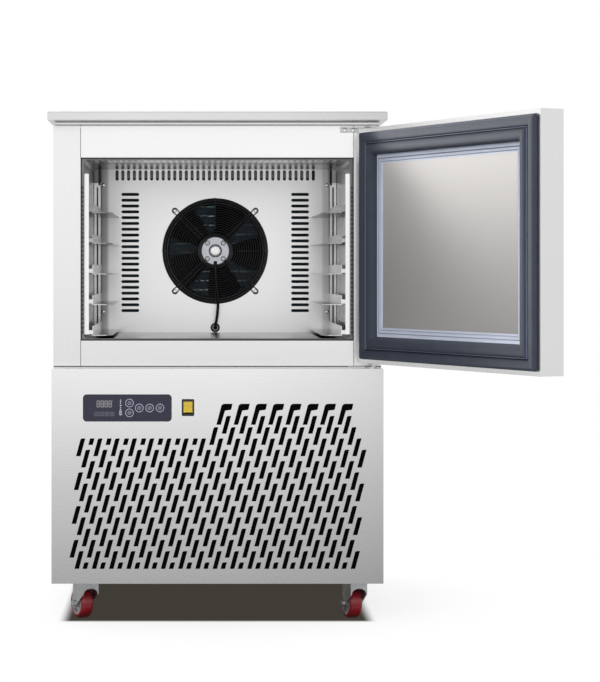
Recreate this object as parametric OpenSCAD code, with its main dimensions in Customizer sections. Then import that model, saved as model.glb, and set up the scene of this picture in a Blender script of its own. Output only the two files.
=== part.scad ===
// Blast chiller: an insulated chamber with a side-hinged door, over a slotted machine compartment on
// swivel casters. Millimetres. The origin is on the floor under the middle of the cabinet, +Z is up
// and the front faces -Y. The door is drawn open, as it stands at rest.

/* [Cabinet] */
// Width across the side panels
body_w = 800; // [780:10:860]
// Depth from the lower front panel to the rear panel
body_d = 815; // [800:5:860]
// Height of the lower front panel's bottom edge above the floor
floor_gap = 95; // [93:1:105]
// Height of the machine compartment, up to its deck
machine_h = 518; // [510:2:560]
// Height of the insulated upper body on the deck
chamber_body_h = 589; // [580:1:620]
// How far the upper front frame lies behind the lower front panel
frame_set_back = 70; // [70:1:80]
// Thickness of the outer sheet steel
sheet_t = 1.2; // [0.8:0.1:1.5]
// Depth of the lips folded back from the front sheets
lip_d = 15; // [10:1:20]

/* [Worktop] */
// Thickness of the worktop's edge
worktop_t = 20; // [16:1:30]
// How far the worktop stands out past each side panel
worktop_over = 10; // [4:1:20]
// Radius along the worktop's upper edges
worktop_edge_r = 3; // [1:0.5:5]
// Height of the recessed strip under the worktop
recess_h = 11; // [9:1:15]

/* [Chamber] */
// Width of the opening in the front frame
opening_w = 667; // [650:1:680]
// Height of the opening in the front frame
opening_h = 447; // [440:1:460]
// Height of the bottom rail under the opening
bottom_rail_h = 65.5; // [60:0.5:75]
// Width of the plastic trim at each side of the opening
trim_side = 8.5; // [6:0.5:12]
// Width of the plastic trim above and below the opening
trim_edge = 5; // [4:0.5:8]
// Depth of the plastic trim around the opening
trim_d = 25; // [18:1:30]
// Thickness of the chamber's inner sheet
liner_t = 1; // [0.8:0.1:1.5]
// Thickness of the back wall behind the chamber, with its insulation
back_wall_t = 60; // [50:1:70]
// Depth of the space behind the air panel
plenum_d = 125; // [120:1:130]
// Radius of the chamber's long inner edges
liner_r = 10; // [6:1:16]

/* [Tray rack] */
// Number of tray levels
levels = 5; // [3:1:5]
// Distance between tray levels
level_pitch = 75; // [60:1:78]
// Height of the lowest ledge above the chamber floor
first_level = 8.5; // [6:0.5:14]
// Free width between the inner edges of the ledges
ledge_gap = 514; // [500:1:530]
// Free width for a tray between the upstands of the ledges
tray_gap = 607; // [602:1:612]
// Thickness of the ledge sheet
ledge_t = 1.5; // [1:0.1:2]
// Height of the upstand on a ledge
upstand_h = 22; // [15:1:30]
// Height of the rack posts
post_h = 400; // [385:1:420]
// Depth of a rack post, front to back
post_d = 14; // [10:1:20]
// Width of a front post
front_post_w = 11; // [9:1:14]

/* [Air panel] */
// Number of upright slots along the top
top_slots = 35; // [25:1:35]
// Distance between upright slots
top_slot_pitch = 15.5; // [14:0.5:16]
// Length of an upright slot
top_slot_l = 28; // [20:1:30]
// Width of an upright slot
top_slot_w = 8.5; // [6:0.5:10]
// Number of level slots in each side column
side_slots = 21; // [15:1:21]
// Distance between level slots
side_slot_pitch = 15.6; // [14:0.2:16]
// Distance of the side slots' middle from the chamber's side
side_slot_in = 97; // [85:1:110]
// Length of a level slot
side_slot_l = 48; // [40:1:52]
// Width of a level slot
side_slot_w = 8; // [6:0.5:10]

/* [Circulation fan] */
// Radius of the wire guard's outer ring
guard_r = 139; // [137:1:145]
// Depth of the guard in front of the air panel
guard_d = 40; // [38:1:44]
// Diameter of the guard's thin wires
guard_wire = 2.2; // [1.6:0.1:2.6]
// Diameter of the guard's thick wires
guard_rod = 4; // [3:0.2:4.6]
// Number of thin rings
guard_rings = 13; // [9:1:14]
// Radius of the blade tips
fan_tip_r = 122; // [112:1:124]
// Number of blades
fan_blades = 5; // [4:1:6]
// Radius of the fan's shaft
shaft_r = 5; // [4:0.5:6]
// Diameter of the motor cable
cable_dia = 7.5; // [6:0.5:8]

/* [Door] */
// Width of the door
door_w = 790; // [770:1:792]
// Thickness of the door without its gasket
door_t = 58; // [54:1:58]
// Gap under the door
door_gap_low = 12.8; // [10:0.2:15]
// Gap between the door and the top of the body
door_gap_high = 9.2; // [9:0.1:12]
// Radius of the hinge pins
pin_r = 5; // [4:0.5:6]
// Distance from the door's hinge side to the pin axis
pin_inset = 17; // [15:1:20]
// Opening angle at which the door stands at rest
door_open = 114.7; // [90:0.1:120]
// Width of the steel margin around the gasket
door_margin = 10; // [8:0.5:14]
// Height of the dark gasket band along the door's top and bottom
gasket_w = 55; // [50:1:58]
// How much wider the gasket band is along the door's upright sides
gasket_side = 1.23; // [1:0.01:1.3]
// Depth of the middle of the door's inner side below its steel margin
door_recess = 8; // [4:0.5:12]
// Width of the pale frame inside the gasket band
door_bezel_w = 22; // [16:1:28]
// Width of the finger recess in the door's outer face
pull_w = 32; // [26:1:40]
// Length of the finger recess
pull_l = 300; // [200:5:400]
// Depth of the finger recess
pull_d = 26; // [20:1:32]

/* [Controls] */
// Width of the control panel
control_w = 214; // [205:1:230]
// Height of the control panel
control_h = 65.4; // [62:0.2:75]
// Distance from the cabinet's left side to the control panel's centre
control_x = 182.7; // [175:0.5:200]
// Height of the control row above the lower panel's bottom edge
control_z = 423.6; // [418:0.2:440]
// Radius of a key
key_r = 8.5; // [7:0.25:9.5]
// Travel of a key
key_travel = 0.8; // [0.5:0.1:1.2]
// Width of the power switch's frame
switch_w = 30; // [28:0.5:34]
// Height of the power switch's frame
switch_h = 40.8; // [38:0.2:44]
// Angle through which the power switch rocks
switch_swing = 20; // [12:1:22]

/* [Lower panel slots] */
// Distance between slots in a row
slot_pitch = 41.6; // [40:0.2:44]
// Width of the taller part of the slot field, from the body's right side
slot_block_w = 415; // [395:1:440]
// Distance between rows of slots
slot_rise = 27.15; // [26:0.05:28.5]
// Height of a slot
slot_h = 43; // [38:1:44]
// Width of a slot
slot_w = 11; // [8:0.5:12]
// Sideways lean of a slot from bottom to top
slot_lean = 11.5; // [8:0.5:13]
// Sideways shift from one row to the next
slot_shift = 12.1; // [11:0.1:13]

/* [Casters] */
// Radius of the wheels
wheel_r = 37.5; // [35:0.5:39]
// Width of the tyre
tyre_w = 32; // [26:1:34]
// Radius of the hub inside the tyre
hub_r = 25; // [20:1:28]
// Distance of the left swivel axes from the body's left side
caster_left_in = 80; // [60:1:100]
// Distance of the right swivel axes from the body's right side
caster_right_in = 64; // [60:1:100]
// Distance of the front swivel axes from the body's front
caster_front_in = 67.5; // [64:0.5:90]
// Distance of the rear swivel axes from the body's back
caster_rear_in = 77.5; // [65:0.5:100]
// Distance from the swivel axis to the axle
caster_trail = 23; // [18:1:27]
// Radius of the axle
axle_r = 5; // [4:0.5:6]

/* [Refrigeration unit] */
// Radius of the compressor's shell
compressor_r = 85; // [75:1:90]
// Height of the compressor's shell
compressor_h = 230; // [200:5:260]
// Width of the condenser
condenser_w = 380; // [340:5:400]
// Height of the condenser
condenser_h = 350; // [330:5:355]
// Thickness of the condenser, front to back
condenser_d = 60; // [40:1:70]
// Radius of the liquid receiver
receiver_r = 45; // [35:1:50]

/* [Hidden] */
$fn = 48;
// Overlap that cutting tools run past a face
eps = 1;
// Radial clearance of a shaft or pin in its bore
run_fit = 0.05;
// Clearance between pieces that pass each other
gap = 0.3;

half_w = body_w / 2;
front_y = -body_d / 2;
back_y = body_d / 2;
frame_y = front_y + frame_set_back;
deck_z = floor_gap + machine_h;
roof_z = deck_z + chamber_body_h;
worktop_z = roof_z + recess_h;
top_z = worktop_z + worktop_t;
// The base pan lies a little above the lower panel's bottom edge
pan_rise = 2;
pan_t = 2;
pan_z = floor_gap + pan_rise;
pan_top = pan_z + pan_t;
inner_half = half_w - sheet_t;

// Opening and chamber
open_half = opening_w / 2;
open_z0 = deck_z + bottom_rail_h;
open_z1 = open_z0 + opening_h;
room_half = open_half - trim_side;
room_z0 = open_z0 + trim_edge;
room_z1 = open_z1 - trim_edge;
room_h = room_z1 - room_z0;
room_mid = (room_z0 + room_z1) / 2;
liner_front = frame_y + trim_d;
air_panel_t = 1.5;
room_back = back_y - back_wall_t;
panel_y = room_back - plenum_d;

// Circulation fan
fan_z = room_mid;
fan_hole_r = fan_tip_r + 8;
face_y = panel_y - guard_d - 5;

// Door, in its closed place
door_front = front_y;
door_back = door_front + door_t;
door_z0 = deck_z + door_gap_low;
door_z1 = roof_z - door_gap_high;
door_h = door_z1 - door_z0;
door_half = door_w / 2;
pin_x = door_half - pin_inset;
pin_y = door_back - door_t / 2;
bore_r = pin_r + run_fit;

// Tray rack
rear_post_w = 20;
rear_post_y = panel_y - 27.5;
front_post_y = frame_y + 12.5;
ledge_in = ledge_gap / 2;
upstand_in = tray_gap / 2;
upstand_out = upstand_in + ledge_t;
rear_post_in = room_half - rear_post_w;
front_post_in = room_half - front_post_w;
// The posts start above the coved edge of the floor
post_z0 = room_z0 + liner_r;

// Controls
control_mid_x = -half_w + control_x;
control_mid_z = floor_gap + control_z;
control_proud = 1.5;
switch_mid_x = control_mid_x + control_w / 2 + 24.2 + switch_w / 2;
switch_mid_z = control_mid_z + 1;
key_places = [[5.3, 11.9], [5.3, -11.7], [28.9, 0], [53.9, 0], [78.8, 0]];

// Casters: place, turn of the rolling direction and trail
caster_places = [for (y = [front_y + caster_front_in, back_y - caster_rear_in],
    x = [-half_w + caster_left_in, half_w - caster_right_in]) [x, y]];
caster_turn = [28, 18, -20, 25];
caster_plate_t = 2.5;
race_h = 4.5;
crown_t = 3.5;
crown_top = pan_z - caster_plate_t - race_h - gap;
crown_z = crown_top - crown_t;
leg_in = tyre_w / 2 + 2.5;
leg_t = 3;

// Points on an arc
function arc(cx, cy, r, a0, a1, n) =
    [for (i = [0:n]) [cx + r * cos(a0 + (a1 - a0) * i / n), cy + r * sin(a0 + (a1 - a0) * i / n)]];

// Outline of a rectangle with round corners, around the origin
function round_box(w, h, r, n = 4) = concat(
    arc(w / 2 - r, h / 2 - r, r, 0, 90, n), arc(-w / 2 + r, h / 2 - r, r, 90, 180, n),
    arc(-w / 2 + r, -h / 2 + r, r, 180, 270, n), arc(w / 2 - r, -h / 2 + r, r, 270, 360, n));

// Outline of a slot with round ends, lying along X around (x, y)
function slot_points(x, y, l, w, n = 5) = concat(
    arc(x + (l - w) / 2, y, w / 2, -90, 90, n), arc(x - (l - w) / 2, y, w / 2, 90, 270, n));

// Box from low corner to high corner
module box(a, b) {
    translate(a) cube(b - a);
}

// An outline in X and Z, extruded from y0 to y1
module plate_xz(y0, y1) {
    translate([0, y1, 0]) rotate([90, 0, 0]) linear_extrude(y1 - y0) children();
}

// Cylinder along +Y from y0 to y1
module rod_y(x, z, r, y0, y1) {
    translate([x, y0, z]) rotate([-90, 0, 0]) cylinder(r = r, h = y1 - y0);
}

// Straight round rod between two points
module rod(a, b, r) {
    d = b - a;
    translate(a) rotate([0, acos(d[2] / norm(d)), atan2(d[1], d[0])]) cylinder(r = r, h = norm(d), $fn = 16);
}

// Pan-head screw whose head rests at the origin and points along +Z
module pan_screw(r, shank_r, shank_l) {
    head_h = r * 0.55;
    rotate_extrude() polygon(concat([[0, -shank_l], [shank_r, -shank_l], [shank_r, 0], [r, 0]],
        [for (a = [0:30:90]) [r * (0.35 + 0.65 * cos(a)), head_h * (0.4 + 0.6 * sin(a))]], [[0, head_h]]));
}

// Profile of (height, distance from the edge) run round a w by h rectangle with mitred corners. The
// rectangle lies in X and Z around the origin, the height points along +Y, and the profile is side
// times as wide on the upright sides. A ring inside the profile, core = [low, high, outer and inner
// distance from the edge], holds the four bars together across the mitres.
module mitred_frame(w, h, profile, side, core) {
    depth = max([for (p = profile) p[1]]) + eps;
    plate_xz(core[0], core[1]) difference() {
        square([w - 2 * core[2] * side, h - 2 * core[2]], center = true);
        square([w - 2 * core[3] * side, h - 2 * core[3]], center = true);
    }
    for (bar = [[w, h, 0, 1, side], [h, w, 90, side, 1], [w, h, 180, 1, side], [h, w, 270, side, 1]])
        rotate([0, bar[2], 0]) intersection() {
            translate([-bar[0] / 2, 0, -bar[1] / 2]) rotate([90, 0, 90])
                linear_extrude(bar[0]) polygon([for (p = profile) [p[0], p[1] * bar[3]]]);
            plate_xz(-50, 50) polygon([[-bar[0] / 2, -bar[1] / 2], [bar[0] / 2, -bar[1] / 2],
                [bar[0] / 2 - depth * bar[4], -bar[1] / 2 + depth * bar[3]],
                [-bar[0] / 2 + depth * bar[4], -bar[1] / 2 + depth * bar[3]]]);
        }
}

// Round tube swept along points, with its end faces square to the first and last stretch
module tube(points, r, sides = 8) {
    n = len(points);
    function step(i) = points[min(i + 1, n - 1)] - points[max(i - 1, 0)];
    function unit(v) = v / norm(v);
    function ring(i) = let (d = unit(step(i)), a = unit(cross(d, [0.35, 0.9, 0.2])), b = cross(d, a))
        [for (k = [0:sides - 1]) points[i] + r * (cos(k * 360 / sides) * a + sin(k * 360 / sides) * b)];
    verts = [for (i = [0:n - 1]) each ring(i)];
    walls = [for (i = [0:n - 2]) for (k = [0:sides - 1]) let (k2 = (k + 1) % sides)
        each [[i * sides + k, i * sides + k2, (i + 1) * sides + k2],
              [i * sides + k, (i + 1) * sides + k2, (i + 1) * sides + k]]];
    ends = [[for (k = [0:sides - 1]) sides - 1 - k], [for (k = [0:sides - 1]) (n - 1) * sides + k]];
    polyhedron(verts, concat(walls, ends));
}

// Route with its corners rounded to radius r, in m steps for each corner
function bend(p, r, m = 5) = let (n = len(p)) concat([p[0]],
    [for (i = [1:n - 2]) let (u = (p[i - 1] - p[i]) / norm(p[i - 1] - p[i]),
        v = (p[i + 1] - p[i]) / norm(p[i + 1] - p[i]),
        k = min(r, norm(p[i - 1] - p[i]) / 2.2, norm(p[i + 1] - p[i]) / 2.2))
        for (j = [0:m]) let (t = j / m)
            p[i] + u * k * (1 - t) * (1 - t) + v * k * t * t], [p[n - 1]]);

// ---- Cabinet ----

// Shallow steel tray on which the machine compartment stands, with air holes and caster holes
module base_pan() {
    color([0.62, 0.63, 0.64]) difference() {
        box([-inner_half, front_y + lip_d + 2, pan_z], [inner_half, back_y - sheet_t, pan_z + 25]);
        box([-inner_half + 2, front_y + lip_d + 4, pan_top],
            [inner_half - 2, back_y - sheet_t - 2, pan_z + 26]);
        for (row = [0:4]) translate([0, -120 + row * 40, pan_z - eps]) linear_extrude(pan_t + 2 * eps)
            polygon(slot_points(0, 0, 260, 10));
    }
}

// Top plate, bolts, ball race and kingpin of each caster
module caster_plates() {
    plate_z = pan_z - caster_plate_t;
    color("silver") for (p = caster_places) translate([p[0], p[1], 0]) {
        translate([0, 0, plate_z]) linear_extrude(caster_plate_t) polygon(round_box(66, 94, 6));
        translate([0, 0, plate_z - race_h]) cylinder(r = 24, h = race_h);
        translate([0, 0, crown_z - 1]) cylinder(r = 6, h = plate_z - race_h - crown_z + 1);
        translate([0, 0, crown_z - 4]) cylinder(r = 9, h = 4 - gap);
        for (x = [-25, 25], y = [-38, 38]) translate([x, y, plate_z - 3.5]) cylinder(r = 4.5, h = 3.5);
    }
}

// Outer side sheet, stepped back beside the door, with the stile folded along the chamber's front
module side_sheet() {
    plate_lap = front_y + lip_d;
    box([-half_w, plate_lap, pan_z], [-half_w + sheet_t, back_y - sheet_t, deck_z]);
    box([-half_w, frame_y, deck_z], [-half_w + sheet_t, back_y - sheet_t, roof_z]);
    box([-half_w, frame_y, deck_z], [-open_half, frame_y + sheet_t, roof_z]);
    box([-open_half - sheet_t, frame_y, open_z0], [-open_half, frame_y + lip_d, open_z1]);
}
module side_left() {
    color([0.8, 0.8, 0.81]) side_sheet();
}
module side_right() {
    color([0.8, 0.8, 0.81]) mirror([1, 0, 0]) side_sheet();
}

// Rear sheet with a louvred field over the machine compartment and the cable hole
module rear_panel() {
    color([0.78, 0.78, 0.79]) difference() {
        box([-half_w, back_y - sheet_t, pan_z], [half_w, back_y, roof_z]);
        for (row = [0:9], col = [-1, 0]) translate([-60 + col * 190, back_y, pan_z + 90 + row * 32])
            plate_xz(-sheet_t - eps, eps) polygon(slot_points(0, 0, 150, 9));
        rod_y(box_mid_x, box_z0 + 40, gland_r + gap, back_y - sheet_t - eps, back_y + eps);
        for (p = rear_screws) rod_y(p[0], p[1], screw_shank_r + gap, back_y - sheet_t - eps, back_y + eps);
    }
}

// Slanted slot with its upper left corner rounded, from its lower left corner at (x, z)
function slot_outline(x, z, h) = let (lean = slot_lean * h / slot_h, r = min(5, slot_w * 0.45))
    concat([[x, z], [x + slot_w, z], [x + slot_w + lean, z + h]],
        arc(x + lean - r * slot_lean / slot_h + r, z + h - r, r, 90, 180, 3));

// Top row: a slanted leg that turns into a level bar
function hook_outline(x, z, h) = let (lean = slot_lean * h / slot_h, bar = 16.5, r = 9,
    under = slot_lean * (h - bar) / slot_h, reach = slot_pitch - 2.5)
    concat([[x, z], [x + slot_w, z], [x + slot_w + under + 1, z + h - bar],
        [x + reach - 5, z + h - bar + 1.5], [x + reach - 3, z + h - bar + 3], [x + reach, z + h]],
        arc(x + lean - r * slot_lean / slot_h + r, z + h - r, r, 90, 180, 4));

// Slots of the lower panel: a low field across the width, and a raised field on the right whose
// rows step up and to the right
module panel_slots() {
    block_x = half_w - slot_block_w;
    field_left = -half_w + 59;
    field_right = half_w - 52;
    low_top = deck_z - 167.8;
    low_bottom = floor_gap + 35.8;
    intersection() {
        for (row = [2:14]) let (base = low_top - slot_rise * (row - 3) - slot_h)
            for (k = [-9:26]) let (x = field_left + slot_shift * (row - 3) + slot_pitch * k)
                if (x > field_left - 1.85 * (row - 3) - 1 && x < field_right - 1.9 * (row - 4))
                    polygon(slot_outline(x, base, slot_h));
        union() {
            translate([-half_w, low_bottom]) square([body_w, low_top - low_bottom]);
            translate([block_x, low_bottom]) square([slot_block_w - 15, low_top - low_bottom + slot_h]);
        }
    }
    for (k = [0:7])
        polygon(slot_outline(block_x + 25 + slot_pitch * k, low_top + 2 * slot_rise - slot_h, slot_h));
    for (k = [0:7]) polygon(hook_outline(block_x + 12.1 + slot_pitch * k, low_top + 32.8, 50.7));
}

// Front panel of the machine compartment, a sheet with lips folded back
module lower_panel() {
    color([0.83, 0.83, 0.84]) difference() {
        box([-half_w, front_y, floor_gap], [half_w, front_y + lip_d, deck_z]);
        box([-half_w + sheet_t, front_y + sheet_t, floor_gap + sheet_t],
            [half_w - sheet_t, front_y + lip_d + eps, deck_z - sheet_t]);
        plate_xz(front_y - eps, front_y + sheet_t + eps) panel_slots();
        translate([control_mid_x, 0, control_mid_z]) plate_xz(front_y - eps, front_y + sheet_t + eps)
            square([control_w - 8 + 2 * gap, control_h - 8 + 2 * gap], center = true);
        translate([switch_mid_x, 0, switch_mid_z]) plate_xz(front_y - eps, front_y + sheet_t + eps)
            square([switch_w - 4 + 2 * gap, switch_h - 4 + 2 * gap], center = true);
    }
}

// Sheet between the machine compartment and the insulated body
module deck() {
    color([0.76, 0.76, 0.77]) difference() {
        box([-inner_half, front_y + lip_d, deck_z - sheet_t], [inner_half, back_y - sheet_t, deck_z]);
        for (x = pipe_x) translate([x, pipe_y, deck_z - sheet_t - eps])
            cylinder(r = pipe_hole_r, h = sheet_t + 2 * eps);
    }
}

// Rails over and under the opening, with their edges folded in and a lip under the worktop
module front_rails() {
    color([0.84, 0.84, 0.85]) {
        box([-open_half, frame_y, deck_z], [open_half, frame_y + sheet_t, open_z0]);
        box([-open_half, frame_y, open_z0 - sheet_t], [open_half, frame_y + lip_d, open_z0]);
        box([-open_half, frame_y, open_z1], [open_half, frame_y + sheet_t, roof_z]);
        box([-open_half, frame_y, open_z1], [open_half, frame_y + lip_d, open_z1 + sheet_t]);
        box([-open_half, frame_y - 2, roof_z - 4.5], [half_w - 102, frame_y, roof_z]);
    }
}

// Folded steel skin of the worktop
module worktop() {
    w = worktop_w();
    module edge_profile(size) {
        polygon(concat([[-size / 2, 0], [size / 2, 0]],
            arc(size / 2 - worktop_edge_r, worktop_t - worktop_edge_r, worktop_edge_r, 0, 90, 4),
            arc(-size / 2 + worktop_edge_r, worktop_t - worktop_edge_r, worktop_edge_r, 90, 180, 4)));
    }
    color([0.86, 0.86, 0.87]) difference() {
        intersection() {
            translate([0, 0, worktop_z]) plate_xz(front_y, back_y) edge_profile(w);
            translate([-w / 2, 0, worktop_z]) rotate([90, 0, 90]) linear_extrude(w) edge_profile(body_d);
        }
        box([-w / 2 + 1.5, front_y + 1.5, worktop_z - eps], [w / 2 - 1.5, back_y - 1.5, top_z - 4]);
    }
}
function worktop_w() = body_w + 2 * worktop_over;

// Board inside the worktop, and the set-back board under it that makes the shadow strip
module worktop_core() {
    w = worktop_w();
    color([0.55, 0.55, 0.56]) {
        box([-w / 2 + 1.5, front_y + 1.5, worktop_z], [w / 2 - 1.5, back_y - 1.5, top_z - 4]);
        box([-half_w + 4, frame_y + 4, roof_z], [half_w - 4, back_y - 4, worktop_z]);
    }
}

// ---- Chamber ----

// Foam between the outer sheets and the chamber's inner sheet
module insulation() {
    lip_half = open_half + sheet_t;
    color([0.93, 0.88, 0.7]) difference() {
        box([-inner_half, frame_y + sheet_t, deck_z], [inner_half, back_y - sheet_t, roof_z]);
        box([-lip_half, frame_y, open_z0 - sheet_t], [lip_half, frame_y + lip_d, open_z1 + sheet_t]);
        box([-open_half, frame_y, open_z0], [open_half, liner_front, open_z1]);
        translate([0, 0, room_mid]) plate_xz(liner_front - eps, room_back + liner_t)
            polygon(round_box(2 * (room_half + liner_t), room_h + 2 * liner_t, liner_r + liner_t));
        for (x = pipe_x) translate([x, pipe_y, deck_z - eps]) cylinder(r = pipe_hole_r, h = room_z0 - deck_z);
    }
}

// Plastic trim round the opening that parts the cold sheet from the outer frame
module opening_trim() {
    color([0.3, 0.31, 0.32]) translate([0, 0, room_mid]) plate_xz(frame_y + 0.6, liner_front) difference() {
        square([2 * open_half, opening_h], center = true);
        polygon(round_box(2 * room_half, room_h, liner_r));
    }
}

// Chamber's inner sheet, open to the front, with coved edges
module liner() {
    color([0.82, 0.82, 0.83]) translate([0, 0, room_mid]) difference() {
        plate_xz(liner_front, room_back + liner_t)
            polygon(round_box(2 * (room_half + liner_t), room_h + 2 * liner_t, liner_r + liner_t));
        plate_xz(liner_front - eps, room_back) polygon(round_box(2 * room_half, room_h, liner_r));
        for (x = pipe_x) translate([x, pipe_y, -room_h / 2 - liner_t - eps])
            cylinder(r = pipe_hole_r, h = liner_t + 2 * eps);
    }
}

// Upright panel in front of the evaporator, with two columns and a row of slots and the fan hole
module air_panel() {
    color([0.8, 0.8, 0.81]) plate_xz(panel_y, panel_y + air_panel_t) difference() {
        translate([0, room_mid]) polygon(round_box(2 * room_half, room_h, liner_r));
        for (i = [0:top_slots - 1]) translate([(i - (top_slots - 1) / 2) * top_slot_pitch, room_z1 - 15.5])
            rotate(90) polygon(slot_points(0, 0, top_slot_l, top_slot_w));
        for (i = [0:side_slots - 1], side = [-1, 1])
            polygon(slot_points(side * (room_half - side_slot_in),
                fan_z - 4 + (i - (side_slots - 1) / 2) * side_slot_pitch, side_slot_l, side_slot_w));
        translate([0, fan_z]) circle(r = fan_hole_r);
        translate([0, grommet_z]) circle(r = grommet_neck_r + gap);
        for (p = air_panel_screws) translate(p) circle(r = screw_shank_r + gap);
        for (a = [45:90:315]) translate([loop_r * cos(a), fan_z + loop_r * sin(a)])
            circle(r = screw_shank_r + gap);
    }
}
air_panel_screws = [for (x = [-1, 1], z = [room_z0 + 55.5, room_z1 - 41.5]) [x * (room_half - 25), z]];
screw_shank_r = 2.2;
screw_head_r = 5;
rear_screw_z = [pan_z + 40, deck_z - 40, deck_z + 40, roof_z - 30];
rear_screws = [for (x = [-half_w + 12, half_w - 12], z = rear_screw_z) [x, z]];

// Finned coil with its end plates and return bends, on feet on the chamber floor
module evaporator() {
    half = room_half - 45;
    y0 = panel_y + 32;
    y1 = room_back - 12;
    z0 = room_z0 + 26;
    z1 = room_z1 - 20;
    color([0.55, 0.68, 0.72]) difference() {
        box([-half, y0, z0], [half, y1, z1]);
        for (i = [0:45]) let (x = -half + 10 + i * (2 * half - 20) / 45)
            box([x - 1.8, y0 - eps, z0 - eps], [x + 1.8, y0 + 7, z1 + eps]);
    }
    color([0.7, 0.72, 0.73]) for (side = [-1, 1])
        box([side > 0 ? half : -half - 2, y0 - 3, room_z0], [side > 0 ? half + 2 : -half, y1 + 3, z1 + 6]);
    color([0.75, 0.45, 0.3]) for (side = [-1, 1], i = [0:6])
        translate([side * (half + 2), (y0 + y1) / 2, z0 + 25 + i * 55]) rotate([0, side * 90, 0])
            rotate([0, 0, 90]) u_bend();
}
module u_bend() {
    rotate([90, 0, 0]) rotate_extrude(angle = 180) translate([14, 0]) circle(r = 4.5, $fn = 16);
}

// Shallow tray under the coil
module drip_tray() {
    half = room_half - 50;
    color([0.8, 0.8, 0.81]) difference() {
        box([-half, panel_y + 26, room_z0], [half, room_back - 4, room_z0 + 20]);
        box([-half + 1, panel_y + 27, room_z0 + 1.2], [half - 1, room_back - 5, room_z0 + 21]);
        for (x = pipe_x) translate([x, pipe_y, room_z0 - eps]) cylinder(r = pipe_hole_r, h = 10);
    }
}

// ---- Circulation fan ----
grommet_z = room_z0 + 13;
grommet_neck_r = 9;
loop_r = guard_r + 14;
plate_y = face_y + 3.5;
mount_plate_t = 2;
ring_in_r = 53;
ring_out_r = guard_r - 12;
basket_y = face_y + 11;

// Depth of the diagonal rods at a radius, and of the thin rings welded onto their front
arm_r = guard_rod * 0.375;
arm_in_r = 47;
function arm_y(r) = plate_y + 1 + (basket_y - plate_y - 1) * (r - arm_in_r) / (ring_out_r - arm_in_r);
function guard_y(r) = arm_y(r) - guard_wire / 2 - arm_r + 0.4;

module ring_y(r, wire_r, y) {
    translate([0, y, fan_z]) rotate([-90, 0, 0]) rotate_extrude()
        translate([r, 0]) circle(r = wire_r, $fn = 16);
}

// Wire guard: concentric rings on twin diagonal rods that end in screw loops, and a mount plate
module fan_guard() {
    wire_r = guard_wire / 2;
    rod_r = guard_rod / 2;
    foot_y = panel_y - rod_r - 0.1;
    thin_lift = guard_wire - 0.4;
    loop_half = 6.7;
    color([0.07, 0.07, 0.08]) {
        for (i = [0:guard_rings - 1]) let (r = ring_in_r + (ring_out_r - ring_in_r) * i / (guard_rings - 1))
            ring_y(r, wire_r, guard_y(r));
        ring_y(guard_r - 4.5, rod_r, foot_y - 13);
        ring_y(guard_r, rod_r, foot_y);
        translate([0, plate_y, fan_z]) rotate([-90, 0, 0]) difference() {
            cylinder(r = arm_in_r + 1, h = mount_plate_t);
            translate([0, 0, -eps]) cylinder(r = 20, h = mount_plate_t + 2 * eps);
        }
        for (a = [45:90:315]) translate([0, 0, fan_z]) rotate([0, -a, 0]) {
            for (side = [-1, 1]) let (z = side * 4.8) {
                rod([arm_in_r, plate_y + 1, z], [ring_out_r + 3, arm_y(ring_out_r + 3), z], arm_r);
                rod([ring_out_r + 2, arm_y(ring_out_r + 2) - 0.6, z], [guard_r - 2, foot_y, z], arm_r);
                rod([guard_r - 3, foot_y, z], [loop_r, foot_y, side * loop_half], arm_r);
            }
            translate([loop_r, foot_y, 0]) rotate([-90, -90, 0]) rotate_extrude(angle = 180)
                translate([loop_half, 0]) circle(r = arm_r, $fn = 16);
        }
        for (a = [0:90:270]) translate([0, 0, fan_z]) rotate([0, -a, 0]) {
            rod([60, guard_y(60) + thin_lift, 0],
                [ring_out_r + 1, guard_y(ring_out_r + 1) + thin_lift, 0], wire_r);
            rod([ring_out_r, guard_y(ring_out_r) + thin_lift, 0], [guard_r + 4, foot_y - 1, 0], wire_r);
        }
    }
}

// Fixed half of the fan motor: silver face with a cap and four bolts, flange and shaft
module fan_motor() {
    rear = plate_y + mount_plate_t;
    color([0.75, 0.76, 0.78]) {
        difference() {
            rod_y(0, fan_z, 38, face_y, plate_y);
            box([-4.5, face_y - eps, fan_z - 39], [4.5, plate_y + eps, fan_z - 27]);
        }
        rod_y(0, fan_z, 19.7, face_y, rear);
        rod_y(0, fan_z, 14.3, face_y - 1.5, face_y);
        rod_y(0, fan_z, 46.5, rear, rear + 11);
        rod_y(0, fan_z, shaft_r, rear + 11, rear + 46);
        for (x = [-21, 21], z = [-21, 21]) rod_y(x, fan_z + z, 4.8, face_y - 2.5, face_y);
        box([-5, face_y - 8, fan_z - 27], [5, face_y, fan_z - 17]);
    }
}

// Blade that sweeps back and curves like a scoop, along X from the hub
module blade(hub_r, tip_r, pitch, t) {
    curve_r = 150;
    intersection() {
        cylinder(r = tip_r, h = 80, center = true, $fn = 96);
        linear_extrude(80, center = true) polygon([[hub_r - 4, -24], [tip_r * 0.7, -46], [tip_r + 2, -58],
            [tip_r + 2, 36], [tip_r * 0.75, 34], [hub_r - 4, 20]]);
        rotate([pitch, 0, 0]) translate([0, 0, -curve_r]) rotate([0, 90, 0]) difference() {
            cylinder(r = curve_r, h = tip_r + 5, $fn = 160);
            translate([0, 0, -eps]) cylinder(r = curve_r - t, h = tip_r + 8, $fn = 160);
        }
    }
}

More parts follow.
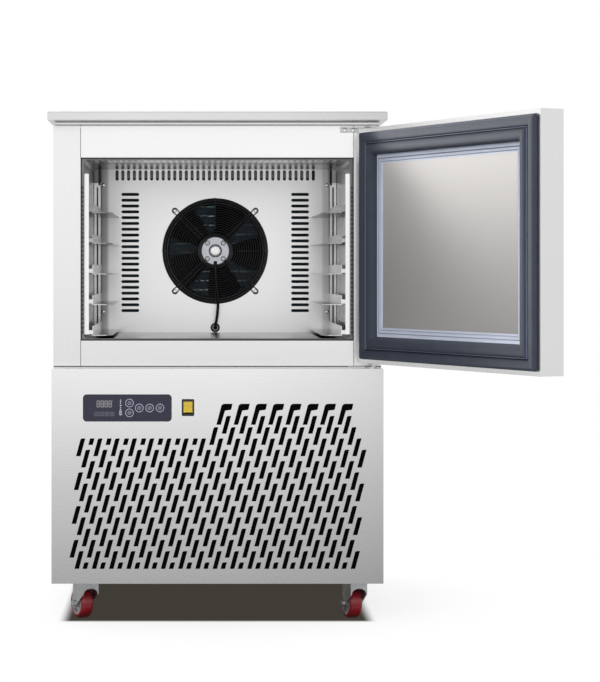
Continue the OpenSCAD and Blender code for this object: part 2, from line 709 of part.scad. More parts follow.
// Hub with its bore and blades, turning about Y; the hub's front face lies at y = 0 and the blades
// stand behind it by lift
module rotor(hub_r, hub_l, pitch, first, lift) {
    rotate([-90, 0, 0]) difference() {
        union() {
            cylinder(r = hub_r, h = hub_l, $fn = 72);
            translate([0, 0, lift]) for (i = [0:fan_blades - 1])
                rotate([0, 0, -first - i * 360 / fan_blades]) blade(hub_r, fan_tip_r, pitch, 2.5);
        }
        translate([0, 0, -eps]) cylinder(r = shaft_r + run_fit, h = hub_l + 2 * eps);
    }
}
module fan_rotor() {
    color([0.08, 0.08, 0.09])
        translate([0, plate_y + mount_plate_t + 11.6, fan_z]) rotor(46, 40, 17, 63, 29);
}

// Motor cable, held at the motor and at the grommet
module fan_cable() {
    r = cable_dia / 2;
    color([0.05, 0.05, 0.05]) tube(bend(concat(
        [[0, face_y - 4.1, fan_z - 27.3]],
        [for (p = [[0, -4.2, -40], [2, -5, -80], [7, 0, -125], [6, 10, -165], [0, 17, -197]])
            [p[0], face_y + p[1], fan_z + p[2]]],
        [[0, panel_y - 20, grommet_z], [0, panel_y - 8, grommet_z]]), 18, 4), r);
}

// Rubber grommet where the cable passes the air panel
module cable_grommet() {
    color([0.12, 0.12, 0.13]) {
        rod_y(0, grommet_z, 12.5, panel_y - 3, panel_y);
        rod_y(0, grommet_z, 7, panel_y - 8, panel_y - 3);
        rod_y(0, grommet_z, grommet_neck_r, panel_y, panel_y + 5);
    }
}

// ---- Tray rack ----

// Channel post, closed towards the trays, with a row of holes for the ledges' hooks
module posts() {
    top = room_z0 + post_h;
    rear_y1 = rear_post_y + post_d;
    front_y1 = front_post_y + post_d;
    difference() {
        union() {
            box([-room_half, rear_post_y, post_z0], [-rear_post_in, rear_y1, top]);
            box([-room_half, front_post_y, post_z0], [-front_post_in, front_y1, top + 3]);
        }
        for (z = [post_z0 + 8:25:top - 45]) {
            box([-rear_post_in - 2, rear_post_y + 4, z], [-rear_post_in + eps, rear_y1 - 4, z + 8]);
            box([-front_post_in - 2, front_post_y + 4, z], [-front_post_in + eps, front_y1 - 4, z + 8]);
        }
        mid = -(room_half + rear_post_in) / 2;
        box([mid - 2.4, rear_post_y - eps, post_z0 + 6], [mid + 2.4, rear_y1 - 3, top + 1]);
        rod_y(mid, top - 28, 3.6, rear_post_y - eps, rear_post_y + 4);
    }
}
module posts_left() {
    color([0.85, 0.85, 0.86]) posts();
}
module posts_right() {
    color([0.85, 0.85, 0.86]) mirror([1, 0, 0]) posts();
}

// Angle-section ledges from the front post to the rear one, with cut-off corners
module ledges() {
    y0 = front_post_y + 1;
    y1 = panel_y - 4;
    for (i = [0:levels - 1]) let (z = room_z0 + first_level + i * level_pitch) {
        translate([0, 0, z - ledge_t]) linear_extrude(ledge_t)
            polygon([[-upstand_out, y0], [-ledge_in - 14, y0], [-ledge_in, y0 + 14],
                [-ledge_in, y1 - 14], [-ledge_in - 14, y1], [-upstand_out, y1]]);
        box([-upstand_out, y0, z - ledge_t], [-upstand_in, y1, z + upstand_h]);
        box([-front_post_in, y0, z + 2], [-upstand_out, y0 + post_d - 2, z + 12]);
        if (rear_post_in > upstand_out)
            box([-rear_post_in, rear_post_y + 1, z + 2], [-upstand_out, rear_post_y + post_d - 1, z + 12]);
    }
}
module ledges_left() {
    color([0.83, 0.83, 0.84]) ledges();
}
module ledges_right() {
    color([0.83, 0.83, 0.84]) mirror([1, 0, 0]) ledges();
}

// Screws of the air panel, the fan guard, the top hinge and the rear panel
module screws() {
    module face_screw(x, y, z, shank) {
        translate([x, y, z]) rotate([90, 0, 0]) pan_screw(screw_head_r, screw_shank_r, shank);
    }
    color("silver") {
        for (p = air_panel_screws) face_screw(p[0], panel_y, p[1], 8);
        for (a = [45:90:315]) face_screw(loop_r * cos(a), panel_y, fan_z + loop_r * sin(a), 6);
        for (x = hinge_screw_x) face_screw(x, frame_y - hinge_plate_t, hinge_screw_z, hinge_plate_t);
        for (p = rear_screws) translate([p[0], back_y, p[1]]) rotate([-90, 0, 0])
            pan_screw(screw_head_r, screw_shank_r, sheet_t);
    }
}

// ---- Controls ----

// Front plate of the control panel and the shallow box behind it, with a pocket for each key
module control_panel() {
    color([0.1, 0.12, 0.18]) translate([control_mid_x, 0, control_mid_z]) difference() {
        union() {
            plate_xz(front_y - control_proud, front_y) polygon(round_box(control_w, control_h, 9, 6));
            plate_xz(front_y, front_y + 22) square([control_w - 8, control_h - 8], center = true);
        }
        for (p = key_places) rod_y(p[0], p[1], key_r + gap, front_y - control_proud - eps, front_y + 6);
        translate([-55.4, 9.8]) plate_xz(front_y - control_proud - eps, front_y - control_proud + 0.8)
            square([38.4, 18.8], center = true);
    }
}

// Round key in its pocket
module key(i) {
    p = key_places[i];
    color([0.12, 0.14, 0.2]) translate([control_mid_x, 0, control_mid_z]) difference() {
        rod_y(p[0], p[1], key_r, front_y - control_proud - 0.4, front_y + 5 - key_travel);
        rod_y(p[0], p[1], key_r - 2.4, front_y - control_proud - 0.4 - eps, front_y - control_proud - 0.1);
    }
}
module key_1() {
    key(0);
}
module key_2() {
    key(1);
}
module key_3() {
    key(2);
}
module key_4() {
    key(3);
}
module key_5() {
    key(4);
}

rocker_w = switch_w - 8.2;
rocker_l = switch_h - 14.4;
rocker_pivot_y = front_y + 6;
rocker_pin_r = 1.6;

// Frame of the power switch with its hollow body
module switch_frame() {
    hole_w = rocker_w + 2 * gap;
    hole_h = rocker_l + 3.2;
    color([0.06, 0.06, 0.06]) translate([switch_mid_x, 0, switch_mid_z]) difference() {
        union() {
            plate_xz(front_y - 2, front_y) polygon(round_box(switch_w, switch_h, 2.5));
            plate_xz(front_y, front_y + 22) square([switch_w - 4, switch_h - 4], center = true);
        }
        plate_xz(front_y - 2 - eps, front_y + 18) square([hole_w, hole_h], center = true);
        translate([-switch_w, rocker_pivot_y, 0]) rotate([0, 90, 0])
            cylinder(r = rocker_pin_r + run_fit, h = 2 * switch_w);
    }
}

// Rocker on its own pins, standing with its upper end pressed in
module rocker() {
    pin_l = (switch_w - rocker_w) / 2 - 3;
    color([0.93, 0.75, 0.12]) translate([switch_mid_x, rocker_pivot_y, switch_mid_z])
        rotate([-switch_swing / 2, 0, 0]) {
            translate([-rocker_w / 2, 0, 0]) rotate([90, 0, 90]) linear_extrude(rocker_w)
                polygon([[-9, -rocker_l / 2], [-6.8, 0], [-9, rocker_l / 2], [-4, rocker_l / 2], [4, 4],
                    [4, -4], [-4, -rocker_l / 2]]);
            translate([-rocker_w / 2 - pin_l, 0, 0]) rotate([0, 90, 0])
                cylinder(r = rocker_pin_r, h = rocker_w + 2 * pin_l);
        }
}

// ---- Hinges ----
hinge_plate_t = 2.5;
hinge_arm_t = 3;
hinge_arm_z = roof_z - 5;
hinge_screw_z = roof_z - 10.5;
hinge_screw_x = [half_w - 88.6, half_w - 68.2];
pin_reach = 17;
hinge_block_h = 22;

// Upper bracket: a plate screwed to the frame, an arm under the worktop and a pin down into the door
module hinge_top() {
    color("silver") {
        difference() {
            box([half_w - 100, frame_y - hinge_plate_t, roof_z - 16], [half_w - 55, frame_y, hinge_arm_z]);
            for (x = hinge_screw_x) rod_y(x, hinge_screw_z, screw_shank_r + gap, frame_y - 4, frame_y + 1);
        }
        translate([0, 0, hinge_arm_z]) linear_extrude(hinge_arm_t) polygon(concat(
            [[half_w - 100, frame_y], [half_w - 100, frame_y - 12], [pin_x - 20, frame_y - 20]],
            arc(pin_x, pin_y, 14, 180, 360, 8), [[pin_x + 14, frame_y]]));
        translate([pin_x, pin_y, door_z1 - pin_reach])
            cylinder(r = pin_r, h = hinge_arm_z - door_z1 + pin_reach);
    }
}

// Lower bracket on the deck, with the pin and the collar that carries the door
module hinge_bottom() {
    color("silver") {
        translate([0, 0, deck_z]) linear_extrude(hinge_arm_t) polygon(concat(
            arc(pin_x, pin_y, 14, 180, 360, 8), [[pin_x + 14, frame_y], [pin_x - 60, frame_y],
            [pin_x - 60, frame_y - 12], [pin_x - 20, frame_y - 20]]));
        translate([pin_x, pin_y, deck_z + hinge_arm_t])
            cylinder(r = pin_r, h = door_gap_low - hinge_arm_t + pin_reach);
        translate([pin_x, pin_y, door_z0 - gap - 2]) cylinder(r = pin_r + 3, h = 2);
    }
}

// ---- Door ----

// Turns the closed door about its pins to where it stands at rest
module door_pose() {
    translate([pin_x, pin_y, 0]) rotate([0, 0, door_open]) translate([-pin_x, -pin_y, 0]) children();
}

// Finger recess near the door's free side, as a box that is larger by g
module pull_box(g, front) {
    x0 = -door_half + 28;
    mid = (door_z0 + door_z1) / 2;
    box([x0 - g, door_front + front, mid - pull_l / 2 - g],
        [x0 + pull_w + g, door_front + pull_d + g, mid + pull_l / 2 + g]);
}
module hinge_block(z0) {
    translate([pin_x, pin_y, z0]) translate([-13, -13, 0]) cube([26, 26, hinge_block_h]);
}

// Folded steel skin with a margin on the inner side, a finger recess and a bored block for each pin
module door_shell() {
    in = door_half - door_margin;
    color([0.8, 0.8, 0.81]) door_pose() difference() {
        union() {
            difference() {
                box([-door_half, door_front, door_z0], [door_half, door_back, door_z1]);
                box([-door_half + sheet_t, door_front + sheet_t, door_z0 + sheet_t],
                    [door_half - sheet_t, door_back - sheet_t, door_z1 - sheet_t]);
                box([-in, door_back - 2 * sheet_t, door_z0 + door_margin],
                    [in, door_back + eps, door_z1 - door_margin]);
            }
            pull_box(sheet_t, 0);
            hinge_block(door_z0);
            hinge_block(door_z1 - hinge_block_h);
        }
        pull_box(0, -eps);
        translate([pin_x, pin_y, door_z0 - eps]) cylinder(r = bore_r, h = hinge_block_h + 2 * eps);
        translate([pin_x, pin_y, door_z1 - hinge_block_h - eps])
            cylinder(r = bore_r, h = hinge_block_h + 2 * eps);
    }
}

// Distances of the bezel's and the inner panel's edges from the door's edges: [sides, top and bottom]
bezel_in = [door_margin + gasket_w * gasket_side, door_margin + gasket_w];
inner_in = [bezel_in[0] + door_bezel_w, bezel_in[1] + door_bezel_w];
recess_y = door_back - sheet_t - door_recess;
recess_lap = 12;

// Block in the middle of the door's inner side, with its edges at a distance from the door's edges
module middle_block(in, y0, y1) {
    box([-door_half + in[0], y0, door_z0 + in[1]], [door_half - in[0], y1, door_z1 - in[1]]);
}

// Foam inside the door
module door_core() {
    color([0.93, 0.88, 0.7]) door_pose() difference() {
        box([-door_half + sheet_t, door_front + sheet_t, door_z0 + sheet_t],
            [door_half - sheet_t, door_back - sheet_t, door_z1 - sheet_t]);
        middle_block(bezel_in - [recess_lap * gasket_side, recess_lap], recess_y, door_back);
        pull_box(sheet_t, 0);
        hinge_block(door_z0);
        hinge_block(door_z1 - hinge_block_h);
    }
}

// Runs a profile round the closed door's inner side, with its outer edge at a distance from the
// door's edges
module door_ring(in, profile, side, core) {
    translate([0, door_back, (door_z0 + door_z1) / 2])
        mitred_frame(door_w - 2 * in[0], door_h - 2 * in[1], profile, side, core);
}

// Magnetic gasket in its dark carrier: a tall outer bead, a deep groove and the sealing bead, with a
// foot that reaches down into the recess
module door_gasket() {
    w = gasket_w;
    g = w * 0.48;
    color([0.16, 0.17, 0.22]) door_pose() door_ring([door_margin, door_margin], [[-sheet_t, 0], [5, 0],
        [8.5, 2], [10.6, 6], [11.2, 10], [10.6, 15], [8, g - 4], [1.5, g - 1.5], [1.5, g + 1], [8, g + 3.5],
        [10.8, g + 8], [11.4, g + 12], [10.6, g + 17], [6, w - 5], [-4.5, w],
        [-sheet_t - door_recess, w], [-sheet_t - door_recess, w - recess_lap], [-sheet_t, w - recess_lap]],
        gasket_side, [1 - sheet_t - door_recess, -5, w - recess_lap + 1, w - 1]);
}

// Pale plastic frame between the gasket and the inner panel, sloping down to the panel
module door_bezel() {
    w = door_bezel_w;
    color([0.62, 0.64, 0.72]) door_pose() door_ring(bezel_in, [[-sheet_t - door_recess, 0], [-5, 0],
        [-4, 2], [-4, w * 0.4], [-5.5, w * 0.45], [-5.5, w * 0.8], [-door_recess + 0.5, w],
        [-sheet_t - door_recess, w]], 1, [0.3 - sheet_t - door_recess, 0.2 - door_recess, 1, w - 1]);
}

// Steel panel in the middle of the door's inner side
module door_panel() {
    color([0.75, 0.75, 0.76]) door_pose() middle_block(inner_in, recess_y, door_back - door_recess);
}

// ---- Refrigeration unit ----
compressor_x = -190;
compressor_y = 20;
stub_x = 30;
box_mid_x = 240;
box_z0 = pan_top + 230;
box_w = 220;
box_h = 200;
box_d = 110;
gland_r = 11;
condenser_x = 130;
condenser_y = front_y + 50;
condenser_z0 = pan_top + 26;
shroud_y = condenser_y + condenser_d + 2;
condenser_fan_z = condenser_z0 + condenser_h / 2;
motor_y = shroud_y + 62;
motor_l = 18;
condenser_hub_l = 34;
condenser_hub_y = motor_y - motor_l - 0.6 - condenser_hub_l;
receiver_x = 40;
receiver_y = 190;
pipe_x = [-235, -215];
pipe_y = panel_y + 70;
pipe_hole_r = 9;

// Hermetic shell with a weld flange, on a foot plate and rubber feet, with its terminal box
module compressor() {
    r = compressor_r;
    z0 = pan_top + 19;
    color([0.08, 0.08, 0.09]) translate([compressor_x, compressor_y, 0]) {
        for (x = [-80, 80], y = [-60, 60]) translate([x, y, pan_top]) cylinder(r = 13, h = 16);
        translate([0, 0, pan_top + 16]) linear_extrude(3) polygon(round_box(196, 156, 18));
        translate([0, 0, z0]) rotate_extrude($fn = 96) polygon(concat([[0, 0]],
            arc(r - 30, 30, 30, -90, 0, 6), [[r, compressor_h * 0.6], [r + 5, compressor_h * 0.6],
            [r + 5, compressor_h * 0.6 + 6], [r, compressor_h * 0.6 + 6]],
            [for (a = [0:15:90]) [r * cos(a), compressor_h - 60 + 60 * sin(a)]]));
        box([r - 12, -28, z0 + 60], [r + 34, 28, z0 + 125]);
        for (x = [-stub_x, stub_x]) translate([x, 0, z0 + compressor_h - 20]) cylinder(r = 11, h = 26);
    }
}

// Finned block between two end plates that stand on the pan
module condenser() {
    half = condenser_w / 2;
    y1 = condenser_y + condenser_d;
    color([0.25, 0.26, 0.27]) translate([condenser_x, 0, 0]) {
        difference() {
            box([-half, condenser_y, condenser_z0], [half, y1, condenser_z0 + condenser_h]);
            for (i = [0:47]) let (x = -half + 6 + i * (2 * half - 12) / 47)
                box([x - 1.6, condenser_y - eps, condenser_z0 - eps],
                    [x + 1.6, condenser_y + 6, condenser_z0 + condenser_h + eps]);
        }
        for (side = [-1, 1]) box([side > 0 ? half : -half - 2, condenser_y, pan_top],
            [side > 0 ? half + 2 : -half, y1, condenser_z0 + condenser_h]);
    }
    color([0.75, 0.45, 0.3]) for (side = [-1, 1], i = [0:5])
        translate([condenser_x + side * (half + 2), (condenser_y + y1) / 2,
            condenser_z0 + 30 + i * (condenser_h - 60) / 5])
            rotate([0, side * 90, 0]) rotate([0, 0, 90]) u_bend();
}

// Shroud plate behind the condenser, the strap across it and the fan motor on the strap
module condenser_fan_frame() {
    half = condenser_w / 2 + 2;
    strap = fan_tip_r + 24;
    color([0.2, 0.2, 0.21]) {
        translate([condenser_x, 0, 0]) plate_xz(shroud_y - 2, shroud_y) difference() {
            translate([-half, pan_top]) square([2 * half, condenser_z0 - pan_top + condenser_h]);
            translate([0, condenser_fan_z]) circle(r = fan_hole_r);
        }
        for (side = [-1, 1]) rod_y(condenser_x, condenser_fan_z + side * strap, 6, shroud_y, motor_y);
        box([condenser_x - 12, motor_y, condenser_fan_z - strap - 8],
            [condenser_x + 12, motor_y + 3, condenser_fan_z + strap + 8]);
        rod_y(condenser_x, condenser_fan_z, 40, motor_y - motor_l, motor_y);
        rod_y(condenser_x, condenser_fan_z, 36, motor_y + 3, motor_y + 40);
        rod_y(condenser_x, condenser_fan_z, shaft_r, condenser_hub_y - 1.4, motor_y - motor_l);
    }
}
module condenser_rotor() {
    color([0.1, 0.1, 0.11]) translate([condenser_x, condenser_hub_y, condenser_fan_z])
        rotor(42, condenser_hub_l, 17, 20, 22.5);
}

// Upright liquid receiver with domed ends on a ring foot
module receiver() {
    r = receiver_r;
    h = 210;
    color([0.1, 0.1, 0.1]) translate([receiver_x, receiver_y, pan_top]) rotate_extrude() polygon(concat(
        [[0, 8], [r * 0.7, 14], [r * 0.7, 0], [r * 0.7 + 2, 0], [r * 0.7 + 2, 15], [r, 32]],
        [for (a = [0:18:72]) [r * cos(a), h - 20 + 24 * sin(a)]], [[8, h + 4], [8, h + 16], [0, h + 16]]));
}

// Copper lines: suction from the coil to the compressor, discharge to the condenser, liquid to the
// receiver and on up to the coil
module pipework() {
    coil_foot = room_z0 + 26;
    stub_top = pan_top + 19 + compressor_h + 6;
    in_x = compressor_x - stub_x;
    out_x = compressor_x + stub_x;
    coil_x = condenser_x - condenser_w / 2;
    coil_y = condenser_y + 45;
    coil_z = condenser_z0 + condenser_h - 46;
    color([0.75, 0.45, 0.3]) {
        tube(bend([[pipe_x[0], pipe_y, coil_foot], [pipe_x[0], pipe_y, stub_top + 60],
            [in_x, compressor_y, stub_top + 60], [in_x, compressor_y, stub_top]], 30), 8);
        tube(bend([[out_x, compressor_y, stub_top], [out_x, compressor_y, stub_top + 30],
            [coil_x - 30, coil_y, stub_top + 30], [coil_x - 30, coil_y, coil_z],
            [coil_x - 2, coil_y, coil_z]], 24), 5);
        tube(bend([[receiver_x, receiver_y, pan_top + 226], [receiver_x, receiver_y, pan_top + 300],
            [pipe_x[1], pipe_y, pan_top + 330], [pipe_x[1], pipe_y, coil_foot]], 30), 5);
    }
}

// Box for the wiring on the rear panel, with the gland for the supply cable
module electrical_box() {
    y0 = back_y - sheet_t - box_d;
    color([0.72, 0.72, 0.7]) translate([box_mid_x, 0, box_z0 + box_h / 2]) {
        plate_xz(y0 + 8, back_y - sheet_t) polygon(round_box(box_w, box_h, 8));
        plate_xz(y0, y0 + 8) polygon(round_box(box_w + 8, box_h + 8, 10));
    }
    color([0.1, 0.1, 0.1]) difference() {
        rod_y(box_mid_x, box_z0 + 40, gland_r, back_y - sheet_t, back_y + 12);
        rod_y(box_mid_x, box_z0 + 40, 5.5, back_y, back_y + 13);
    }
}

// ---- Casters ----

// Puts a caster's piece in place: the local +Y is the trail, with the axle along X
module caster_pose(i) {
    translate([caster_places[i][0], caster_places[i][1], 0]) rotate([0, 0, caster_turn[i]]) children();
}

// Crown under the race, an arch over the wheel in front, and two legs that carry the axle
module fork() {
    out = leg_in + leg_t;
    front = 26;
    module leg_outline() {
        difference() {
            polygon(concat([[-front, crown_z + crown_t / 2], [-front, crown_z - 20],
                [-front + 4, crown_z - 27]], arc(caster_trail, wheel_r, 11, 200, 360, 8),
                [[30, crown_z - 8], [28, crown_z + crown_t / 2]]));
            translate([caster_trail, wheel_r]) circle(r = axle_r - 1);
        }
    }
    color([0.7, 0.71, 0.72]) {
        difference() {
            union() {
                translate([0, 0, crown_z]) linear_extrude(crown_t) intersection() {
                    translate([-out, -front]) square([2 * out, front + 28]);
                    circle(r = 32);
                }
                plate_xz(-front, -front + leg_t) difference() {
                    translate([-out, crown_z - 24]) square([2 * out, 24 + crown_t / 2]);
                    polygon(concat([[leg_in, crown_z - 25], [leg_in, crown_z - 22]],
                        [for (a = [15:15:165]) [leg_in * cos(a), crown_z - 22 + 13 * sin(a)]],
                        [[-leg_in, crown_z - 22], [-leg_in, crown_z - 25]]));
                }
                for (x = [-out, leg_in]) translate([x, 0, 0])
                    rotate([90, 0, 90]) linear_extrude(leg_t) leg_outline();
            }
            translate([0, 0, crown_z - eps]) cylinder(r = 6 + run_fit, h = crown_t + 2 * eps);
        }
        translate([-out - 4, caster_trail, wheel_r]) rotate([0, 90, 0])
            cylinder(r = axle_r, h = 2 * (out + 4));
        for (side = [-1, 1]) translate([side * (out + 2) - 2.5, caster_trail, wheel_r])
            rotate([0, 90, 0]) cylinder(r = 8, h = 5, $fn = 6);
    }
}

// Grey hub with a dished web on each side and the axle's bore
module hub() {
    half = tyre_w / 2;
    color([0.6, 0.6, 0.62]) translate([0, caster_trail, wheel_r]) rotate([0, 90, 0]) rotate_extrude()
        polygon([[axle_r + run_fit, -half - 1.5], [axle_r + 4, -half - 1.5], [axle_r + 5, -half + 6],
            [hub_r - 4, -half + 6], [hub_r - 3, -half + 1], [hub_r, -half + 1], [hub_r, half - 1],
            [hub_r - 3, half - 1], [hub_r - 4, half - 6], [axle_r + 5, half - 6], [axle_r + 4, half + 1.5],
            [axle_r + run_fit, half + 1.5]]);
}

// Red tyre with round shoulders on the hub
module tyre() {
    half = tyre_w / 2;
    s = 9;
    color([0.62, 0.06, 0.08]) translate([0, caster_trail, wheel_r]) rotate([0, 90, 0])
        rotate_extrude($fn = 96) polygon(concat([[hub_r, -half + 1]],
            arc(wheel_r - s, -half + s, s, -90, 0, 5),
            arc(wheel_r - s, half - s, s, 0, 90, 5), [[hub_r, half - 1]]));
}
module fork_1() {
    caster_pose(0) fork();
}
module hub_1() {
    caster_pose(0) hub();
}
module tyre_1() {
    caster_pose(0) tyre();
}
module fork_2() {
    caster_pose(1) fork();
}
module hub_2() {
    caster_pose(1) hub();
}
module tyre_2() {
    caster_pose(1) tyre();
}
module fork_3() {
    caster_pose(2) fork();
}
module hub_3() {
    caster_pose(2) hub();
}
module tyre_3() {
    caster_pose(2) tyre();
}
module fork_4() {
    caster_pose(3) fork();
}
module hub_4() {
    caster_pose(3) hub();
}
module tyre_4() {
    caster_pose(3) tyre();
}

base_pan();
caster_plates();
side_left();
side_right();
rear_panel();
lower_panel();
deck();
front_rails();
worktop();
worktop_core();
insulation();
opening_trim();
liner();
air_panel();
evaporator();
drip_tray();
fan_guard();
fan_motor();
fan_cable();
cable_grommet();
posts_left();
posts_right();
ledges_left();
ledges_right();
screws();
control_panel();
switch_frame();
hinge_top();
hinge_bottom();
compressor();
condenser();
condenser_fan_frame();
receiver();
pipework();
electrical_box();
fan_rotor();
condenser_rotor();
door_shell();
door_core();
door_bezel();
door_panel();
door_gasket();
key_1();
key_2();
key_3();
key_4();
key_5();
rocker();
fork_1();
hub_1();
tyre_1();
fork_2();
hub_2();
tyre_2();
fork_3();
hub_3();
tyre_3();
fork_4();
hub_4();
tyre_4();
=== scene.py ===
"""Blast chiller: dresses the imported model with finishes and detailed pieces, and sets camera and light.

The frame is the model's own: the origin is on the floor under the middle of the cabinet, +Z is up and
the front faces -Y. Camera, light and colour stops are in metres, and surfaces in millimetres.
"""
import math

import bpy
import numpy as np
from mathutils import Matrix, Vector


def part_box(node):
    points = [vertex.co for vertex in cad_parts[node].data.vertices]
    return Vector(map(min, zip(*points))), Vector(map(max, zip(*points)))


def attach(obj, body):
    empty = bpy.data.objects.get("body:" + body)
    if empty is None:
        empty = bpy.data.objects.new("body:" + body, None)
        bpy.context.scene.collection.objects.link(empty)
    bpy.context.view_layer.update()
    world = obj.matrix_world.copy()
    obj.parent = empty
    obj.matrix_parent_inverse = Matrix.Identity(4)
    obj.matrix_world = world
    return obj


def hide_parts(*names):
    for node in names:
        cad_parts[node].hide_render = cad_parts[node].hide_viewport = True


MM = 0.001
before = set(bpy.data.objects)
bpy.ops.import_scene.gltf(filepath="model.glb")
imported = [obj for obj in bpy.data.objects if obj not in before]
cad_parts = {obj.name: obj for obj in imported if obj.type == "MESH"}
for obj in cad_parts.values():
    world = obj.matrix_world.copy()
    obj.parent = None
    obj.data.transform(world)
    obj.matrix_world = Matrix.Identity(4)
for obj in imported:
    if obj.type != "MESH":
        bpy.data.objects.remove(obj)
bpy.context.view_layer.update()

# ---------------------------------------------------------------------------------------------
# Camera: level and straight on, with the picture shifted off its axis
# ---------------------------------------------------------------------------------------------
PHOTO_W, PHOTO_H = 600, 682
AXIS_PX = (195.0, 270.0)
PANEL_SCALE = 0.415
CAMERA_DISTANCE = 5.5
SENSOR = 36.0

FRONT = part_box("lower_panel")[0][1]
EYE_X = -0.0542
EYE_Z = 0.851

camera_data = bpy.data.cameras.new("camera")
camera_data.sensor_width = SENSOR
camera_data.lens = SENSOR * PANEL_SCALE * CAMERA_DISTANCE / MM / PHOTO_H
camera_data.shift_x = (PHOTO_W / 2 - AXIS_PX[0]) / PHOTO_H
camera_data.shift_y = (AXIS_PX[1] - PHOTO_H / 2) / PHOTO_H
camera_data.clip_end = 60
camera = bpy.data.objects.new("camera", camera_data)
camera.location = (EYE_X, FRONT - CAMERA_DISTANCE, EYE_Z)
camera.rotation_euler = (math.radians(90), 0, 0)
bpy.context.scene.collection.objects.link(camera)
bpy.context.scene.camera = camera
bpy.context.scene.view_settings.view_transform = "Standard"


# ---------------------------------------------------------------------------------------------
# Materials
# ---------------------------------------------------------------------------------------------
def add_node(tree, kind, **values):
    """A new node of a tree, with its settings."""
    item = tree.nodes.new(kind)
    for key, value in values.items():
        setattr(item, key, value)
    return item


def ranged(tree, value, limits, kind="LINEAR"):
    """Maps an output from one range onto another, 0 to 1 unless limits gives all four ends."""
    item = add_node(tree, "ShaderNodeMapRange", interpolation_type=kind)
    for key, limit in zip(("From Min", "From Max", "To Min", "To Max"), limits):
        item.inputs[key].default_value = limit
    tree.links.new(value, item.inputs["Value"])
    return item.outputs["Result"]


def combined(tree, operation, a, b):
    """One number worked out from two outputs."""
    item = add_node(tree, "ShaderNodeMath", operation=operation)
    tree.links.new(a, item.inputs[0])
    tree.links.new(b, item.inputs[1])
    return item.outputs["Value"]


def blended(tree, factor, a, b):
    """Blend of two numbers by an output, each of them a plain value or an output."""
    item = add_node(tree, "ShaderNodeMix", data_type="FLOAT")
    tree.links.new(factor, item.inputs["Factor"])
    for key, value in (("A", a), ("B", b)):
        if isinstance(value, float):
            item.inputs[key].default_value = value
        else:
            tree.links.new(value, item.inputs[key])
    return item.outputs["Result"]


class Finish:
    """A node material built up in steps round one principled shader."""

    def __init__(self, name, color, metallic=0.0, roughness=0.5, **sockets):
        self.material = bpy.data.materials.new(name)
        self.material.use_nodes = True
        self.tree = self.material.node_tree
        self.shader = self.tree.nodes["Principled BSDF"]
        self.shader.inputs["Base Color"].default_value = (*color, 1)
        self.shader.inputs["Metallic"].default_value = metallic
        self.shader.inputs["Roughness"].default_value = roughness
        for key, value in sockets.items():
            self.shader.inputs[key.replace("_", " ")].default_value = value
        self.color = color
        self.roughness = roughness
        self.last_bump = None

    def add(self, kind, **values):
        return add_node(self.tree, kind, **values)

    def link(self, a, b):
        self.tree.links.new(a, b)

    def noise(self, stretch, detail=3.0, seed=0.0):
        """Noise over Object coordinates, squeezed by one factor, or by one along each axis."""
        place = self.add("ShaderNodeTexCoord")
        mapping = self.add("ShaderNodeMapping")
        mapping.inputs["Scale"].default_value = stretch if isinstance(stretch, tuple) else (stretch,) * 3
        mapping.inputs["Location"].default_value = (seed, seed * 1.7, seed * 0.6)
        noise = self.add("ShaderNodeTexNoise")
        noise.inputs["Scale"].default_value = 1.0
        noise.inputs["Detail"].default_value = detail
        self.link(place.outputs["Object"], mapping.inputs["Vector"])
        self.link(mapping.outputs["Vector"], noise.inputs["Vector"])
        return noise.outputs["Fac"]

    def ramp(self, value, low, high):
        """Maps the middle of the noise's range onto low to high."""
        return ranged(self.tree, value, (0.3, 0.7, low, high))

    def vary_roughness(self, stretch, spread, seed=0.0):
        value = self.ramp(self.noise(stretch, seed=seed), self.roughness - spread, self.roughness + spread)
        self.link(value, self.shader.inputs["Roughness"])
        return self

    def vary_color(self, stretch, other, seed=3.0, detail=4.0):
        """Blends the base colour with another one by noise."""
        mix = self.add("ShaderNodeMix", data_type="RGBA")
        mix.inputs["A"].default_value = (*self.color, 1)
        mix.inputs["B"].default_value = (*other, 1)
        self.link(self.ramp(self.noise(stretch, detail, seed), 0.0, 1.0), mix.inputs["Factor"])
        self.link(mix.outputs["Result"], self.shader.inputs["Base Color"])
        return self

    def fade(self, axis, stops):
        """Multiplies the colour by a factor that changes along one axis of Object coordinates, through
        stops of (place in metres, factor)."""
        place = self.add("ShaderNodeTexCoord")
        split = self.add("ShaderNodeSeparateXYZ")
        self.link(place.outputs["Object"], split.inputs["Vector"])
        low, high = stops[0][0], stops[-1][0]
        ramp = self.add("ShaderNodeValToRGB")
        elements = ramp.color_ramp.elements
        elements[1].position = 1.0
        for where, _ in stops[1:-1]:
            elements.new((where - low) / (high - low))
        for element, (where, factor) in zip(elements, stops):
            element.color = (factor, factor, factor, 1)
        self.link(ranged(self.tree, split.outputs[axis], (low, high)), ramp.inputs["Fac"])
        mix = self.add("ShaderNodeMix", data_type="RGBA", blend_type="MULTIPLY")
        mix.inputs["Factor"].default_value = 1.0
        base = self.shader.inputs["Base Color"]
        if base.is_linked:
            self.link(base.links[0].from_socket, mix.inputs["A"])
        else:
            mix.inputs["A"].default_value = (*self.color, 1)
        self.link(ramp.outputs["Color"], mix.inputs["B"])
        self.link(mix.outputs["Result"], base)
        return self

    def bump(self, stretch, strength, distance=0.0005, seed=5.0, detail=3.0):
        """Adds a fine relief made of noise."""
        bump = self.add("ShaderNodeBump")
        bump.inputs["Strength"].default_value = strength
        bump.inputs["Distance"].default_value = distance
        self.link(self.noise(stretch, detail, seed), bump.inputs["Height"])
        if self.last_bump is not None:
            self.link(self.last_bump, bump.inputs["Normal"])
        self.last_bump = bump.outputs["Normal"]
        self.link(self.last_bump, self.shader.inputs["Normal"])
        return self


